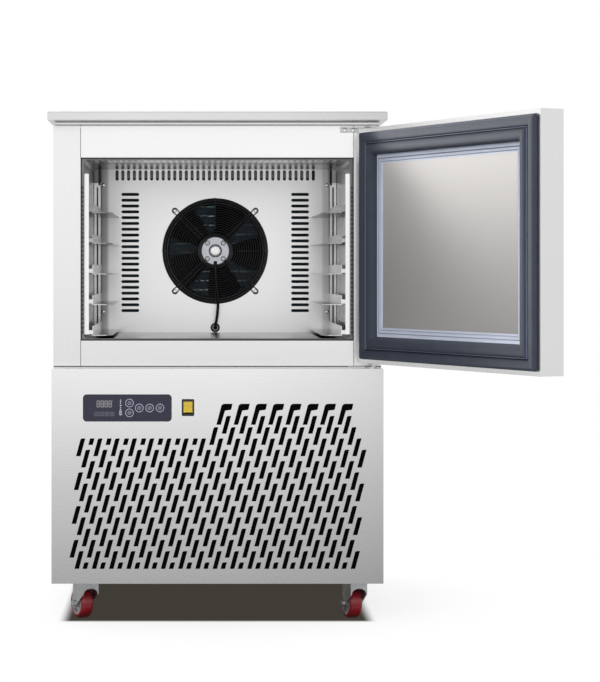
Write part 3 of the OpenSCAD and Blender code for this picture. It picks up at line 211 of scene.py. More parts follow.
def brushed_steel(name, color, roughness, grain, axis="Z", stops=(), across=()):
    """Steel with a fine grain: noise drawn out along the brushing and dense across it. Its colour carries
    painted shade and light, through stops of (place, factor) along an axis and others across the width."""
    finish = (Finish(name, color, metallic=1.0, roughness=roughness)
              .vary_roughness(grain, 0.012)
              .vary_color((2.0, 2.0, 2.5), tuple(c * 0.98 for c in color))
              .bump(grain, 0.007, 0.0002))
    if stops:
        finish.fade(axis, stops)
    if across:
        finish.fade("X", across)
    return finish.material


ALONG_X = (5, 5, 1600)
UPRIGHT = (1600, 1600, 5)
TOP_GRAIN = (5, 1600, 1600)
# Painted shade on the panel steel: darker towards the bottom and towards the right.
steel_front = brushed_steel("panel steel", (0.93, 0.93, 0.935), 0.27, ALONG_X, "Z",
                            [(0.10, 0.82), (0.35, 0.86), (0.62, 1.0)],
                            [(-0.40, 1.0), (0.05, 1.0), (0.25, 0.93), (0.40, 0.84)])
# Painted shade on the front rails: darker towards the bottom.
UPPER_PAINTED_SHADE = [(0.60, 0.86), (0.72, 0.90), (0.95, 0.98), (1.10, 1.0)]
steel_rail = brushed_steel("front rail steel", (0.91, 0.91, 0.91), 0.24, ALONG_X, "Z", UPPER_PAINTED_SHADE)
# Painted shade on the side steel: darker towards the bottom.
steel_side = brushed_steel("side steel", (0.89, 0.89, 0.89), 0.28, UPRIGHT, "Z",
                           [(0.10, 0.88), (0.62, 0.92), (0.95, 0.97), (1.10, 1.0)])
# Painted shade on the worktop: darker towards the right.
steel_top = brushed_steel("worktop steel", (0.81, 0.81, 0.815), 0.36, TOP_GRAIN, "X",
                          [(-0.41, 0.97), (-0.2, 1.0), (0.15, 0.94), (0.41, 0.80)])
# Painted shade in the chamber: darker at its floor and towards its ceiling.
steel_liner = brushed_steel("chamber steel", (0.50, 0.50, 0.50), 0.20, UPRIGHT, "Z",
                            [(0.680, 0.26), (0.690, 0.28), (0.72, 0.90), (1.06, 1.0), (1.10, 0.55),
                             (1.124, 0.34)])
# Painted reflection of the rear posts: the air panel is darker in a strip along each side.
steel_air = brushed_steel("air panel steel", (0.90, 0.90, 0.90), 0.30, UPRIGHT, "X",
                          [(-0.325, 0.26), (-0.304, 0.30), (-0.291, 0.42), (-0.284, 0.86), (-0.24, 1.0),
                           (0.24, 1.0), (0.284, 0.88), (0.292, 0.60), (0.325, 0.50)])
# Painted shade on the rack posts: darker towards the back of the chamber.
steel_rack = brushed_steel("rack steel", (0.90, 0.90, 0.90), 0.24, UPRIGHT, "Y",
                           [(-0.33, 1.0), (-0.28, 1.0), (0.19, 0.88), (0.23, 0.84)])
# Painted shade on the ledges: darker the higher they stand.
steel_ledge = brushed_steel("ledge steel", (0.78, 0.78, 0.78), 0.20, TOP_GRAIN, "Z",
                            [(0.75, 1.0), (0.86, 0.85), (0.93, 0.50), (1.02, 0.34)])
# Painted shade on the door panel: darker towards the bottom and towards the door's free edge.
steel_door = brushed_steel("door panel steel", (0.97, 0.945, 0.925), 0.60, UPRIGHT, "Z",
                           [(0.66, 0.58), (0.85, 0.74), (1.00, 0.90), (1.15, 0.97)],
                           [(0.40, 1.0), (0.68, 0.83)])
zinc = (Finish("zinc plate", (0.70, 0.71, 0.72), metallic=1.0, roughness=0.34)
        .vary_roughness(60, 0.08).vary_color(90, (0.56, 0.57, 0.59)).material)
chrome = Finish("bright screw", (0.82, 0.82, 0.84), metallic=1.0, roughness=0.16).bump(900, 0.1).material
motor_silver = (Finish("cast motor face", (0.80, 0.81, 0.87), metallic=0.9, roughness=0.42)
                .vary_color(150, (0.70, 0.71, 0.77)).bump(700, 0.25).material)
black_wire = (Finish("black coated wire", (0.030, 0.031, 0.036), roughness=0.32, Coat_Weight=0.4)
              .vary_roughness(120, 0.06).material)
black_blade = (Finish("moulded blade", (0.002, 0.002, 0.004), roughness=0.60, Specular_IOR_Level=0.15)
               .vary_roughness(80, 0.08).bump(1200, 0.1).material)
black_rubber = (Finish("cable rubber", (0.015, 0.015, 0.017), roughness=0.5)
                .vary_roughness(200, 0.1).bump(1500, 0.15).material)
black_shell = (Finish("compressor paint", (0.012, 0.012, 0.013), roughness=0.3, Coat_Weight=0.4)
               .vary_roughness(30, 0.08).bump(400, 0.15).material)
trim_black = (Finish("trim black", (0.016, 0.016, 0.015), roughness=0.4)
              .vary_roughness(80, 0.08).bump(1400, 0.1).material)
dark_trim = (Finish("trim plastic", (0.17, 0.17, 0.17), roughness=0.45)
             .vary_roughness(60, 0.08).bump(1400, 0.1).material)
gasket_rubber = (Finish("gasket rubber", (0.034, 0.041, 0.060), roughness=0.66)
                 .vary_color(25, (0.042, 0.050, 0.073)).bump(900, 0.15).material)
pale_frame = (Finish("door frame plastic", (0.58, 0.62, 0.74), roughness=0.5)
              .vary_color(18, (0.54, 0.58, 0.70)).bump(900, 0.1).material)
# Painted highlight: a pale colour for the ridge in the gasket's groove.
groove_highlight = (Finish("painted groove highlight", (0.15, 0.18, 0.27), roughness=0.5)
              .vary_color(60, (0.12, 0.15, 0.23)).material)
# Painted shade: a dark colour for the lines along the pale frame's steps.
groove_shade = (Finish("painted frame groove shade", (0.24, 0.27, 0.38), roughness=0.5)
              .vary_color(60, (0.21, 0.24, 0.34)).material)
foam = (Finish("foam", (0.86, 0.76, 0.5), roughness=0.9)
        .vary_color(120, (0.76, 0.64, 0.4)).bump(700, 0.6).material)
underside = brushed_steel("worktop underside", (0.66, 0.66, 0.66), 0.30, TOP_GRAIN)
coil_fin = (Finish("coil fin", (0.022, 0.060, 0.085), metallic=0.5, roughness=0.35)
            .vary_color((25, 25, 90), (0.010, 0.026, 0.042)).bump((300, 300, 900), 0.2).material)
# The noise blends the teal tube colour with near white spots: painted highlights on the tubes.
coil_tube = (Finish("coil tube", (0.30, 0.66, 0.80), metallic=0.7, roughness=0.26)
             .vary_color(60, (0.86, 0.88, 0.90)).material)
filter_mesh = (Finish("filter mesh", (0.002, 0.002, 0.002), roughness=0.95, Specular_IOR_Level=0.1)
               .vary_color(400, (0.005, 0.005, 0.005)).bump(800, 0.5).material)
motor_cap = (Finish("motor cap", (0.97, 0.97, 0.98), metallic=0.9, roughness=0.30)
             .vary_roughness(200, 0.08).material)
seam_dark = (Finish("seam shadow", (0.08, 0.08, 0.085), metallic=0.5, roughness=0.5)
             .vary_roughness(200, 0.1).material)
condenser_fin = (Finish("condenser fin", (0.18, 0.18, 0.19), metallic=0.7, roughness=0.4)
                 .vary_color((30, 30, 90), (0.11, 0.11, 0.12)).material)
copper = (Finish("copper pipe", (0.80, 0.42, 0.27), metallic=1.0, roughness=0.3)
          .vary_color(40, (0.56, 0.27, 0.17)).vary_roughness(50, 0.1).material)
grey_hub = (Finish("hub plastic", (0.42, 0.43, 0.45), roughness=0.42)
            .vary_color(50, (0.36, 0.37, 0.39)).bump(900, 0.12).material)
red_tyre = (Finish("tyre polyurethane", (0.30, 0.008, 0.018), roughness=0.28, Coat_Weight=0.25)
            .vary_color(45, (0.22, 0.007, 0.014)).bump(500, 0.12).material)
box_plastic = (Finish("wiring box plastic", (0.45, 0.45, 0.43), roughness=0.5)
               .vary_color(20, (0.40, 0.40, 0.38)).bump(900, 0.12).material)
control_navy = (Finish("control film", (0.020, 0.020, 0.040), roughness=0.40)
                .vary_color(30, (0.024, 0.024, 0.048)).bump(1500, 0.06).material)
display_glass = (Finish("display window", (0.062, 0.060, 0.074), roughness=0.25, Coat_Weight=0.2)
                 .vary_color(60, (0.052, 0.050, 0.062)).material)
print_grey = (Finish("printed grey", (0.21, 0.21, 0.28), roughness=0.4)
              .vary_color(200, (0.17, 0.17, 0.23)).material)
digit_grey = (Finish("display segment", (0.27, 0.26, 0.28), roughness=0.3)
              .vary_color(300, (0.23, 0.22, 0.24)).material)
ring_print = (Finish("key ring print", (0.46, 0.47, 0.60), roughness=0.4)
              .vary_color(200, (0.40, 0.41, 0.54)).material)
light_print = (Finish("level light print", (0.80, 0.80, 0.90), roughness=0.4)
               .vary_color(200, (0.70, 0.70, 0.80)).material)
switch_black = (Finish("switch plastic", (0.012, 0.012, 0.013), roughness=0.3)
                .vary_roughness(90, 0.05).bump(1200, 0.1).material)
amber = (Finish("amber rocker", (0.84, 0.66, 0.02), roughness=0.16, Transmission_Weight=0.2, Coat_Weight=0.6)
         .vary_color(120, (0.78, 0.50, 0.012)).material)

NODE_FINISH = {
    "base_pan": zinc, "caster_plates": zinc, "side_left": steel_side, "side_right": steel_side,
    "rear_panel": steel_side, "lower_panel": steel_front, "deck": steel_front, "front_rails": steel_rail,
    "worktop": steel_top, "worktop_core": underside, "insulation": foam, "opening_trim": dark_trim,
    "liner": steel_liner, "air_panel": steel_air, "evaporator": coil_fin, "drip_tray": steel_liner,
    "fan_guard": black_wire, "fan_motor": motor_silver, "fan_cable": black_rubber,
    "cable_grommet": black_rubber, "posts_left": steel_rack, "posts_right": steel_rack,
    "ledges_left": steel_ledge, "ledges_right": steel_ledge, "screws": chrome, "control_panel": control_navy,
    "switch_frame": switch_black, "hinge_top": zinc, "hinge_bottom": zinc, "compressor": black_shell,
    "condenser": condenser_fin, "condenser_fan_frame": zinc, "receiver": black_shell, "pipework": copper,
    "electrical_box": box_plastic, "fan_rotor": black_blade, "condenser_rotor": black_blade,
    "door_shell": steel_side, "door_core": foam, "door_bezel": pale_frame, "door_panel": steel_door,
    "door_gasket": gasket_rubber, "rocker": amber,
}
for number in range(1, 6):
    NODE_FINISH[f"key_{number}"] = control_navy
for number in range(1, 5):
    NODE_FINISH[f"fork_{number}"] = zinc
    NODE_FINISH[f"hub_{number}"] = grey_hub
    NODE_FINISH[f"tyre_{number}"] = red_tyre
for node, finish in NODE_FINISH.items():
    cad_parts[node].data.materials.clear()
    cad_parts[node].data.materials.append(finish)


# ---------------------------------------------------------------------------------------------
# Surfaces, all in millimetres: make_piece turns them into metres
# ---------------------------------------------------------------------------------------------
CUBE_CORNERS = np.array([[x, y, z] for z in (0, 1) for y in (0, 1) for x in (0, 1)])
CUBE_QUADS = np.array([[0, 2, 3, 1], [4, 5, 7, 6], [0, 1, 5, 4], [2, 6, 7, 3], [0, 4, 6, 2], [1, 3, 7, 5]])


def grid_faces(rows, columns, wrap_rows=False, wrap_columns=False):
    """Quads between neighbours of a rows by columns grid of points, as one index array."""
    i = np.arange(rows if wrap_rows else rows - 1)[:, None]
    j = np.arange(columns if wrap_columns else columns - 1)[None, :]
    i2, j2 = (i + 1) % rows, (j + 1) % columns
    quads = np.stack([i * columns + j, i * columns + j2, i2 * columns + j2, i2 * columns + j], axis=-1)
    return quads.reshape(-1, 4)


def make_piece(name, parts, finish, body="cabinet", replaces=(), smooth=True):
    """Joins (points, faces) pairs into one piece that rides on a body."""
    points, faces, start = [], [], 0
    for part_points, part_faces in parts:
        points.append(np.asarray(part_points, float).reshape(-1, 3))
        faces.extend((np.asarray(face) + start).tolist() for face in part_faces)
        start += len(points[-1])
    mesh = bpy.data.meshes.new(name)
    mesh.from_pydata((np.concatenate(points) * MM).tolist(), [], faces)
    mesh.validate()
    mesh.materials.append(finish)
    if smooth:
        mesh.shade_smooth()
    piece = bpy.data.objects.new(name, mesh)
    bpy.context.scene.collection.objects.link(piece)
    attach(piece, body)
    if replaces:
        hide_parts(*replaces)


def blocks(rows):
    """Boxes between two corners each, given as (x0, x1, y0, y1, z0, z1), with faces pointing outwards."""
    rows = np.asarray(rows, float)
    lows, highs = rows[:, 0::2], rows[:, 1::2]
    points = lows[:, None] + (highs - lows)[:, None] * CUBE_CORNERS[None]
    faces = CUBE_QUADS[None] + 8 * np.arange(len(rows))[:, None, None]
    return points.reshape(-1, 3), faces.reshape(-1, 4)


def plain_boxes(name, rows, finish, replaces=()):
    """One piece of many boxes on the cabinet."""
    make_piece(name, [blocks(rows)], finish, replaces=replaces, smooth=False)


def mirrored_row(near, far, *rest):
    """The two boxes that lie from near to far on either side of the middle plane."""
    return [(*sorted((side * near, side * far)), *rest) for side in (-1, 1)]


def tube(path, radius, sides=10, closed=False):
    """Circle carried along a path: each ring stands square to the path's direction there, on two
    side vectors found from a fixed up vector."""
    path = np.asarray(path, float)
    if closed:
        along = np.roll(path, -1, 0) - np.roll(path, 1, 0)
    else:
        along = np.gradient(path, axis=0)
    along /= np.linalg.norm(along, axis=1, keepdims=True)
    side = np.cross(along, [0.31, 0.93, 0.2])
    side /= np.linalg.norm(side, axis=1, keepdims=True)
    other = np.cross(along, side)
    turn = np.arange(sides) * 2 * np.pi / sides
    ring = side[:, None] * np.cos(turn)[None, :, None] + other[:, None] * np.sin(turn)[None, :, None]
    points = (path[:, None] + radius * ring).reshape(-1, 3)
    faces = grid_faces(len(path), sides, wrap_rows=closed, wrap_columns=True).tolist()
    if not closed:
        faces.append(list(range(sides))[::-1])
        faces.append([(len(path) - 1) * sides + k for k in range(sides)])
    return points, faces


def smooth_path(points, per_span):
    """Curve through points: each span is a cubic whose end slopes follow the neighbouring points."""
    p = np.asarray(points, float)
    ends = np.vstack([2 * p[0] - p[1], p, 2 * p[-1] - p[-2]])
    t = np.linspace(0, 1, per_span, endpoint=False)[:, None]
    spans = []
    for a, b, c, d in zip(ends[:-3], ends[1:-2], ends[2:-1], ends[3:]):
        spans.append(0.5 * (2 * b + (c - a) * t + (2 * a - 5 * b + 4 * c - d) * t ** 2
                            + (3 * b - a - 3 * c + d) * t ** 3))
    return np.vstack(spans + [p[-1:]])


def lathe(profile, centre, steps=48):
    """Profile of (distance along Y, radius) turned about the line along Y through a point."""
    axis = np.array([0.0, 1.0, 0.0])
    side = np.array([1.0, 0.0, -0.1]) / math.hypot(1.0, 0.1)
    other = np.cross(axis, side)
    profile = np.asarray(profile, float)
    turn = np.arange(steps) * 2 * np.pi / steps
    ring = side[None] * np.cos(turn)[:, None] + other[None] * np.sin(turn)[:, None]
    points = (np.asarray(centre) + profile[:, None, 0:1] * axis + profile[:, None, 1:2] * ring[None])
    return points.reshape(-1, 3), grid_faces(len(profile), steps, wrap_columns=True)[:, ::-1]


# ---------------------------------------------------------------------------------------------
# Floor, background and light
# ---------------------------------------------------------------------------------------------
FLOOR_RADIUS, FLOOR_RINGS, FLOOR_SECTORS = 14.0, 40, 64
FLOOR_FADE = (0.30, 0.80, 0.80, 1.0)
FLOOR_MIRROR = (0.6, 7.0, 0.34, 1.02)
STUDIO_ACROSS = (0.2, 0.9, 1.08, 0.82)
STUDIO_UP = (0.25, 0.85, 1.0, 0.6)
# Painted shadow on the floor: the rectangle under the cabinet, its soft edge and its dark colour.
SHADE_X, SHADE_Y, SHADE_EDGE = (-0.372, 0.372), (-0.378, 0.398), 0.035
SHADE_COLOR = (0.052, 0.046, 0.038)


def make_floor():
    """A flat pale disc, of points on rings about the origin, that turns to the white background by
    its distance from the middle, with a shadow of the cabinet painted under it as a dark, soft-edged
    rectangle."""
    radius = np.linspace(0.02, FLOOR_RADIUS, FLOOR_RINGS)[:, None]
    turn = (np.arange(FLOOR_SECTORS) * 2 * np.pi / FLOOR_SECTORS)[None]
    x, y = radius * np.cos(turn), radius * np.sin(turn)
    points = np.stack([x, y, np.zeros_like(x)], -1).reshape(-1, 3)
    faces = grid_faces(FLOOR_RINGS, FLOOR_SECTORS, wrap_columns=True).tolist()
    faces.append(list(range(FLOOR_SECTORS)))
    look = Finish("floor", (0.86, 0.86, 0.87), roughness=0.75).vary_roughness(3, 0.05)
    tree = look.tree
    place = look.add("ShaderNodeTexCoord").outputs["Object"]
    length = look.add("ShaderNodeVectorMath", operation="LENGTH")
    look.link(place, length.inputs[0])
    distance = length.outputs["Value"]
    rays = look.add("ShaderNodeLightPath").outputs
    seen = combined(tree, "MAXIMUM", rays["Is Camera Ray"], rays["Is Transmission Ray"])
    eye = combined(tree, "MULTIPLY", seen, ranged(tree, distance, FLOOR_FADE, "SMOOTHSTEP"))
    amount = combined(tree, "MAXIMUM", eye, rays["Is Glossy Ray"])
    strength = blended(tree, rays["Is Glossy Ray"], 1.0, ranged(tree, distance, FLOOR_MIRROR))
    white = look.add("ShaderNodeEmission")
    white.inputs["Color"].default_value = (1, 1, 1, 1)
    look.link(strength, white.inputs["Strength"])
    split = look.add("ShaderNodeSeparateXYZ")
    look.link(place, split.inputs["Vector"])
    # Mask of the painted shadow under the cabinet, soft at its edges.
    shade = None
    for axis, (low, high) in (("X", SHADE_X), ("Y", SHADE_Y)):
        for start, sign in ((low, 1), (high, -1)):
            edge = sign * SHADE_EDGE / 2
            side = ranged(tree, split.outputs[axis], (start - edge, start + edge), "SMOOTHSTEP")
            shade = side if shade is None else combined(tree, "MULTIPLY", shade, side)
    dark = look.add("ShaderNodeEmission")
    dark.inputs["Color"].default_value = (*SHADE_COLOR, 1)
    surface = look.shader.outputs["BSDF"]
    for factor, over in ((amount, white), (shade, dark)):
        mix = look.add("ShaderNodeMixShader")
        look.link(factor, mix.inputs["Fac"])
        look.link(surface, mix.inputs[1])
        look.link(over.outputs["Emission"], mix.inputs[2])
        surface = mix.outputs["Shader"]
    look.link(surface, tree.nodes["Material Output"].inputs["Surface"])
    mesh = bpy.data.meshes.new("floor")
    mesh.from_pydata(points.tolist(), [], faces)
    mesh.materials.append(look.material)
    floor = bpy.data.objects.new("floor", mesh)
    bpy.context.scene.collection.objects.link(floor)


def light_world(level):
    """A world that is white to the eye and through clear things, a plain level to matt surfaces, and
    to mirrors a studio: white in front, greyer to the right and overhead."""
    world = bpy.data.worlds.new("studio")
    bpy.context.scene.world = world
    world.use_nodes = True
    tree = world.node_tree
    background = tree.nodes["Background"]
    rays = add_node(tree, "ShaderNodeLightPath").outputs
    split = add_node(tree, "ShaderNodeSeparateXYZ")
    tree.links.new(add_node(tree, "ShaderNodeTexCoord").outputs["Generated"], split.inputs["Vector"])
    across = ranged(tree, split.outputs["X"], STUDIO_ACROSS, "SMOOTHSTEP")
    upward = ranged(tree, split.outputs["Z"], STUDIO_UP, "SMOOTHSTEP")
    studio = combined(tree, "MULTIPLY", across, upward)
    clear = combined(tree, "MAXIMUM", rays["Is Camera Ray"], rays["Is Transmission Ray"])
    unseen = blended(tree, rays["Is Glossy Ray"], level, studio)
    tree.links.new(blended(tree, clear, unseen, 1.0), background.inputs["Strength"])
    background.inputs["Color"].default_value = (1, 1, 1, 1)


def softbox(name, place, aim, width, height, watts, mirrored=False):
    """A rectangular lamp that faces a point, and that shows in shiny surfaces only if mirrored."""
    lamp = bpy.data.lights.new(name, "AREA")
    lamp.shape = "RECTANGLE"
    lamp.size = width
    lamp.size_y = height
    lamp.energy = watts
    holder = bpy.data.objects.new(name, lamp)
    holder.location = place
    line = np.asarray(aim, float) - np.asarray(place, float)
    flat = math.hypot(line[0], line[1])
    holder.rotation_euler = (math.atan2(flat, -line[2]), 0, math.atan2(-line[0], line[1]))
    holder.visible_glossy = mirrored
    bpy.context.scene.collection.objects.link(holder)


make_floor()
light_world(0.45)
softbox("key light", (-1.6, -3.2, 3.4), (0, 0, 0.7), 2.4, 1.8, 70)
softbox("fill light", (2.6, -3.0, 1.6), (0, 0, 0.8), 1.6, 2.0, 22)
softbox("top light", (0, 0.3, 4.2), (0, 0, 0), 3.0, 2.2, 40)
softbox("back light", (-1.5, 1.1, 2.7), (0.6, -0.7, 1.1), 1.2, 1.0, 55, mirrored=True)

# ---------------------------------------------------------------------------------------------
# Circulation fan: wire guard, cable, motor face and the rings at its holes
# ---------------------------------------------------------------------------------------------
FAN_Z = 902
PLATE_Y, PLATE_IN_R, PLATE_OUT_R = 181, 20, 48
FOOT_Y = 220.4
ARM_IN_R = 47
RING_IN_R, RING_OUT_R, RINGS = 53, 127, 13
RING_Y_IN = PLATE_Y + 1
RING_Y_STEP = 6.5 / 80
RING_WIRE, RIM_WIRE, ARM_WIRE, SPOKE_WIRE = 0.95, 2.05, 1.55, 1.1
ARM_ACROSS = 4.8
LOOP_AT, LOOP_R = 153, 6.7
MOTOR_Y = 177.5
BOLTS = [(x, MOTOR_Y, FAN_Z + z) for x in (-21, 21) for z in (-21, 21)]
CABLE_HOLE_Z = 696.5


def hoop(y, radius, wire, sides=8, steps=120):
    """Round wire bent to a circle about the fan's axis, at one depth."""
    turn = np.arange(steps) * 2 * np.pi / steps
    path = np.stack([radius * np.cos(turn), 0 * turn, radius * np.sin(turn)], 1) + (0, y, FAN_Z)
    return tube(path, wire, sides, closed=True)


def arm_depth(radius):
    """Depth of a diagonal rod at a radius: it leans back towards the wall in a straight line."""
    return RING_Y_IN + RING_Y_STEP * (radius - ARM_IN_R)


def polar(radius, degrees, y, across=0.0):
    """Point at a radius and angle about the fan's axis, shifted sideways from the radius."""
    a = math.radians(degrees)
    return (radius * math.cos(a) - across * math.sin(a), y,
            FAN_Z + radius * math.sin(a) + across * math.cos(a))


def make_guard():
    """Concentric round-wire rings, twin bent rods on each diagonal that end in a loop, four thin
    spokes, and a flat mounting ring."""
    parts = [hoop(arm_depth(radius) - 2.2, radius, RING_WIRE, 7)
             for radius in np.linspace(RING_IN_R, RING_OUT_R, RINGS)]
    parts += [hoop(FOOT_Y - 13, 134.5, RIM_WIRE), hoop(FOOT_Y, 139, RIM_WIRE)]
    for angle in (45, 135, 225, 315):
        for side in (-1, 1):
            across = side * ARM_ACROSS
            path = [polar(r, angle, arm_depth(r), across) for r in (46.5, 90, 126, 129.5)]
            path += [polar(133, angle, FOOT_Y - 20, across), polar(136.5, angle, FOOT_Y - 4, across),
                     polar(140, angle, FOOT_Y - 0.3, across), polar(148, angle, FOOT_Y, side * 6.2),
                     polar(LOOP_AT, angle, FOOT_Y, side * LOOP_R)]
            parts.append(tube(smooth_path(path, 6), ARM_WIRE, 8))
        bow = [polar(LOOP_AT + LOOP_R * math.cos(t), angle, FOOT_Y, LOOP_R * math.sin(t))
               for t in np.linspace(-math.pi / 2, math.pi / 2, 15)]
        parts.append(tube(bow, ARM_WIRE, 8))
    for angle in (0, 90, 180, 270):
        path = [polar(r, angle, arm_depth(r) - 0.4) for r in np.linspace(59, 129, 8)]
        path += [polar(134, angle, 203), polar(139, angle, 216.5), polar(143, angle, 218.6)]
        parts.append(tube(smooth_path(path, 4), SPOKE_WIRE, 7))
    plate = [(0, PLATE_IN_R), (0, PLATE_OUT_R - 0.4), (0.4, PLATE_OUT_R), (2, PLATE_OUT_R), (2, PLATE_IN_R),
             (0, PLATE_IN_R)]
    parts.append(lathe(plate, (0, PLATE_Y, FAN_Z), 72))
    make_piece("fan_guard_wires", parts, black_wire, replaces=("fan_guard",))


def make_cable():
    """Round rubber cable along a smooth curve from the motor's lower edge down to the grommet, and the
    washer at its hole."""
    path = [(0, 173.4, 875), (0, MOTOR_Y - 4.2, 862), (2, MOTOR_Y - 5, 822), (7, MOTOR_Y, 777),
            (6, MOTOR_Y + 10, 737), (1, MOTOR_Y + 17, 705), (0, 202.5, CABLE_HOLE_Z),
            (0, 217, CABLE_HOLE_Z)]
    make_piece("motor_cable", [tube(smooth_path(path, 10), 3.75, 14)], black_rubber,
               replaces=("fan_cable",))
    washer = [(0.2, 8.4), (-0.6, 8.2), (-0.6, 5.2), (0.2, 5.0)]
    centre = (0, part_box("cable_grommet")[0][1] / MM, CABLE_HOLE_Z)
    make_piece("grommet_washer", [lathe(washer, centre, 40)], motor_silver)


def make_motor_face():
    """Domed cap and bolt heads, with dark rings of painted shade round the bolt heads, the cap and the
    motor's face.
    """
    middle = (0, MOTOR_Y, FAN_Z)
    cap = [(0.2, 14.3), (-1.4, 14.0), (-2.2, 12.6), (-2.5, 9), (-2.7, 0.01)]
    make_piece("motor_cap", [lathe(cap, middle)], motor_cap)
    head = [(0.2, 5.2), (-1.6, 5.2), (-2.9, 4.4), (-3.3, 2.6), (-2.3, 2.2), (-2.3, 0.01)]
    make_piece("motor_bolts", [lathe(head, bolt, 20) for bolt in BOLTS], motor_cap)
    # Dark rings of painted shade round each bolt head, round the cap and round the motor's face.
    bolt_shade = [(0, 4.9), (-0.5, 5.0), (-0.5, 6.4), (0, 6.7)]
    ring = [(0, 14.5), (-0.35, 14.8), (-0.35, 17.2), (0, 17.6)]
    rim = [(0.6, 38.1), (-0.5, 37.9), (-0.7, 37), (-0.5, 36.2), (0, 36)]
    rings = [lathe(bolt_shade, bolt, 20) for bolt in BOLTS]
    rings += [lathe(profile, middle, 64) for profile in (ring, rim)]
    make_piece("motor_rings", rings, seam_dark)


def make_inlet_ring():
    """Rolled black ring round the fan's hole in the air panel, and the rubber ring and plug at the
    cable's hole."""
    ring = [(224.4, 124.5), (218, 126), (216.4, 128.5), (217.6, 131.5), (221.6, 133), (222.4, 142),
            (222.6, 142), (224.4, 131)]
    make_piece("fan_inlet_ring", [lathe(ring, (0, 0, FAN_Z), 96)], black_wire)
    hole = (0, 0, CABLE_HOLE_Z)
    t = np.linspace(0, 2 * np.pi, 17)
    rubber = np.stack([217.4 + 3.0 * np.sin(t), 9.6 + 2.8 * np.cos(t)], 1)
    collar = [(224, 7.0), (216.5, 7.0), (216.5, 7.2)]
    collars = [lathe(profile, hole, 40) for profile in (rubber, collar)]
    make_piece("grommet_ring", collars, black_rubber)
    plug = [(219, 7.1), (217.6, 6.0), (217.2, 0.01)]
    make_piece("grommet_core", [lathe(plug, hole, 32)], dark_trim,
               replaces=("cable_grommet",))


make_guard()
make_cable()
make_motor_face()
make_inlet_ring()


# ---------------------------------------------------------------------------------------------
# Coil behind the air panel
# ---------------------------------------------------------------------------------------------
COIL_HALF, COIL_Y, COIL_Z = 280, (254.5, 335.5), (709.5, 1100.5)
FIN_PITCH, FIN_T = 3.2, 0.35
TUBE_ROWS, TUBE_PITCH, TUBE_TOP = (263, 281, 299, 317), 25.0, 1092
BEND_R, BEND_PITCH, BENDS = 14, 55, 7


def make_coil():
    """Upright fins as thin boxes in a row, tubes that cross them in staggered rows, return bends at
    both ends and an end plate on each side."""
    x = np.arange(2 - COIL_HALF, COIL_HALF - 2, FIN_PITCH)
    fins = np.stack(np.broadcast_arrays(x, x + FIN_T, *COIL_Y, *COIL_Z), 1).tolist()
    core = (-COIL_HALF, COIL_HALF, COIL_Y[0] + 9, COIL_Y[1] - 9, COIL_Z[0] + 2, COIL_Z[1] - 2)
    plain_boxes("coil_fins", fins + [core], coil_fin, replaces=("evaporator",))
    tubes = []
    for row, depth in enumerate(TUBE_ROWS):
        for z in np.arange(722, 1096, TUBE_PITCH) + row % 2 * TUBE_PITCH / 2:
            if z < TUBE_TOP:
                tubes.append(tube([[x, depth, z] for x in (-283, 0, 283)], 4.6))
    t = np.linspace(0, np.pi, 9)
    for side in (-1, 1):
        for k in range(BENDS):
            z = 734.5 + BEND_PITCH * k
            bend = np.stack([side * (282 + BEND_R * np.sin(t)), 295 + BEND_R * np.cos(t), z + 0 * t], 1)
            tubes.append(tube(bend, 4.5))
    make_piece("coil_tubes", tubes, coil_tube)
    plain_boxes("coil_ends", mirrored_row(280, 282, 251.5, 338.5, 683.5, 1106.5), zinc)


make_coil()


# ---------------------------------------------------------------------------------------------
# Door: where it stands, and the rings round its inner side
# ---------------------------------------------------------------------------------------------
DOOR_OPEN = math.radians(114.7)
PIN = np.array([378.0, -378.5])
DOOR_HALF, DOOR_Z0, DOOR_Z1 = 395, 625.8, 1192.8
DOOR_BACK = -349.5
GASKET_SIDE, DOOR_MARGIN, GASKET_W, GASKET_CORNER = 1.23, 10, 55, 5
GASKET = [(-1.2, 0), (5, 0), (8.5, 2), (10.6, 6), (11.2, 10), (10.6, 15), (8, 22.4), (1.5, 24.9), (1.5, 27.4),
          (8, 29.9), (10.8, 34.4), (11.4, 38.4), (10.6, 43.4), (6, 50), (-4.5, 55), (-9.2, 55), (-9.2, 43),
          (-1.2, 43)]
BEZEL = [(-9.2, 0), (-5, 0), (-4, 2), (-4, 8.6), (-4.5, 9.0), (-4.5, 9.4), (-5.5, 9.9), (-5.5, 14.6),
         (-6.0, 15.0), (-6.0, 15.4), (-5.5, 15.8), (-5.5, 17.6), (-7.5, 22), (-9.2, 22)]


def door_place(points):
    """Turns points of the closed door about the hinge pins to where the door stands."""
    p = np.asarray(points, float)
    x, y = p[..., 0] - PIN[0], p[..., 1] - PIN[1]
    c, s = math.cos(DOOR_OPEN), math.sin(DOOR_OPEN)
    return np.stack([PIN[0] + x * c - y * s, PIN[1] + x * s + y * c, p[..., 2]], -1)


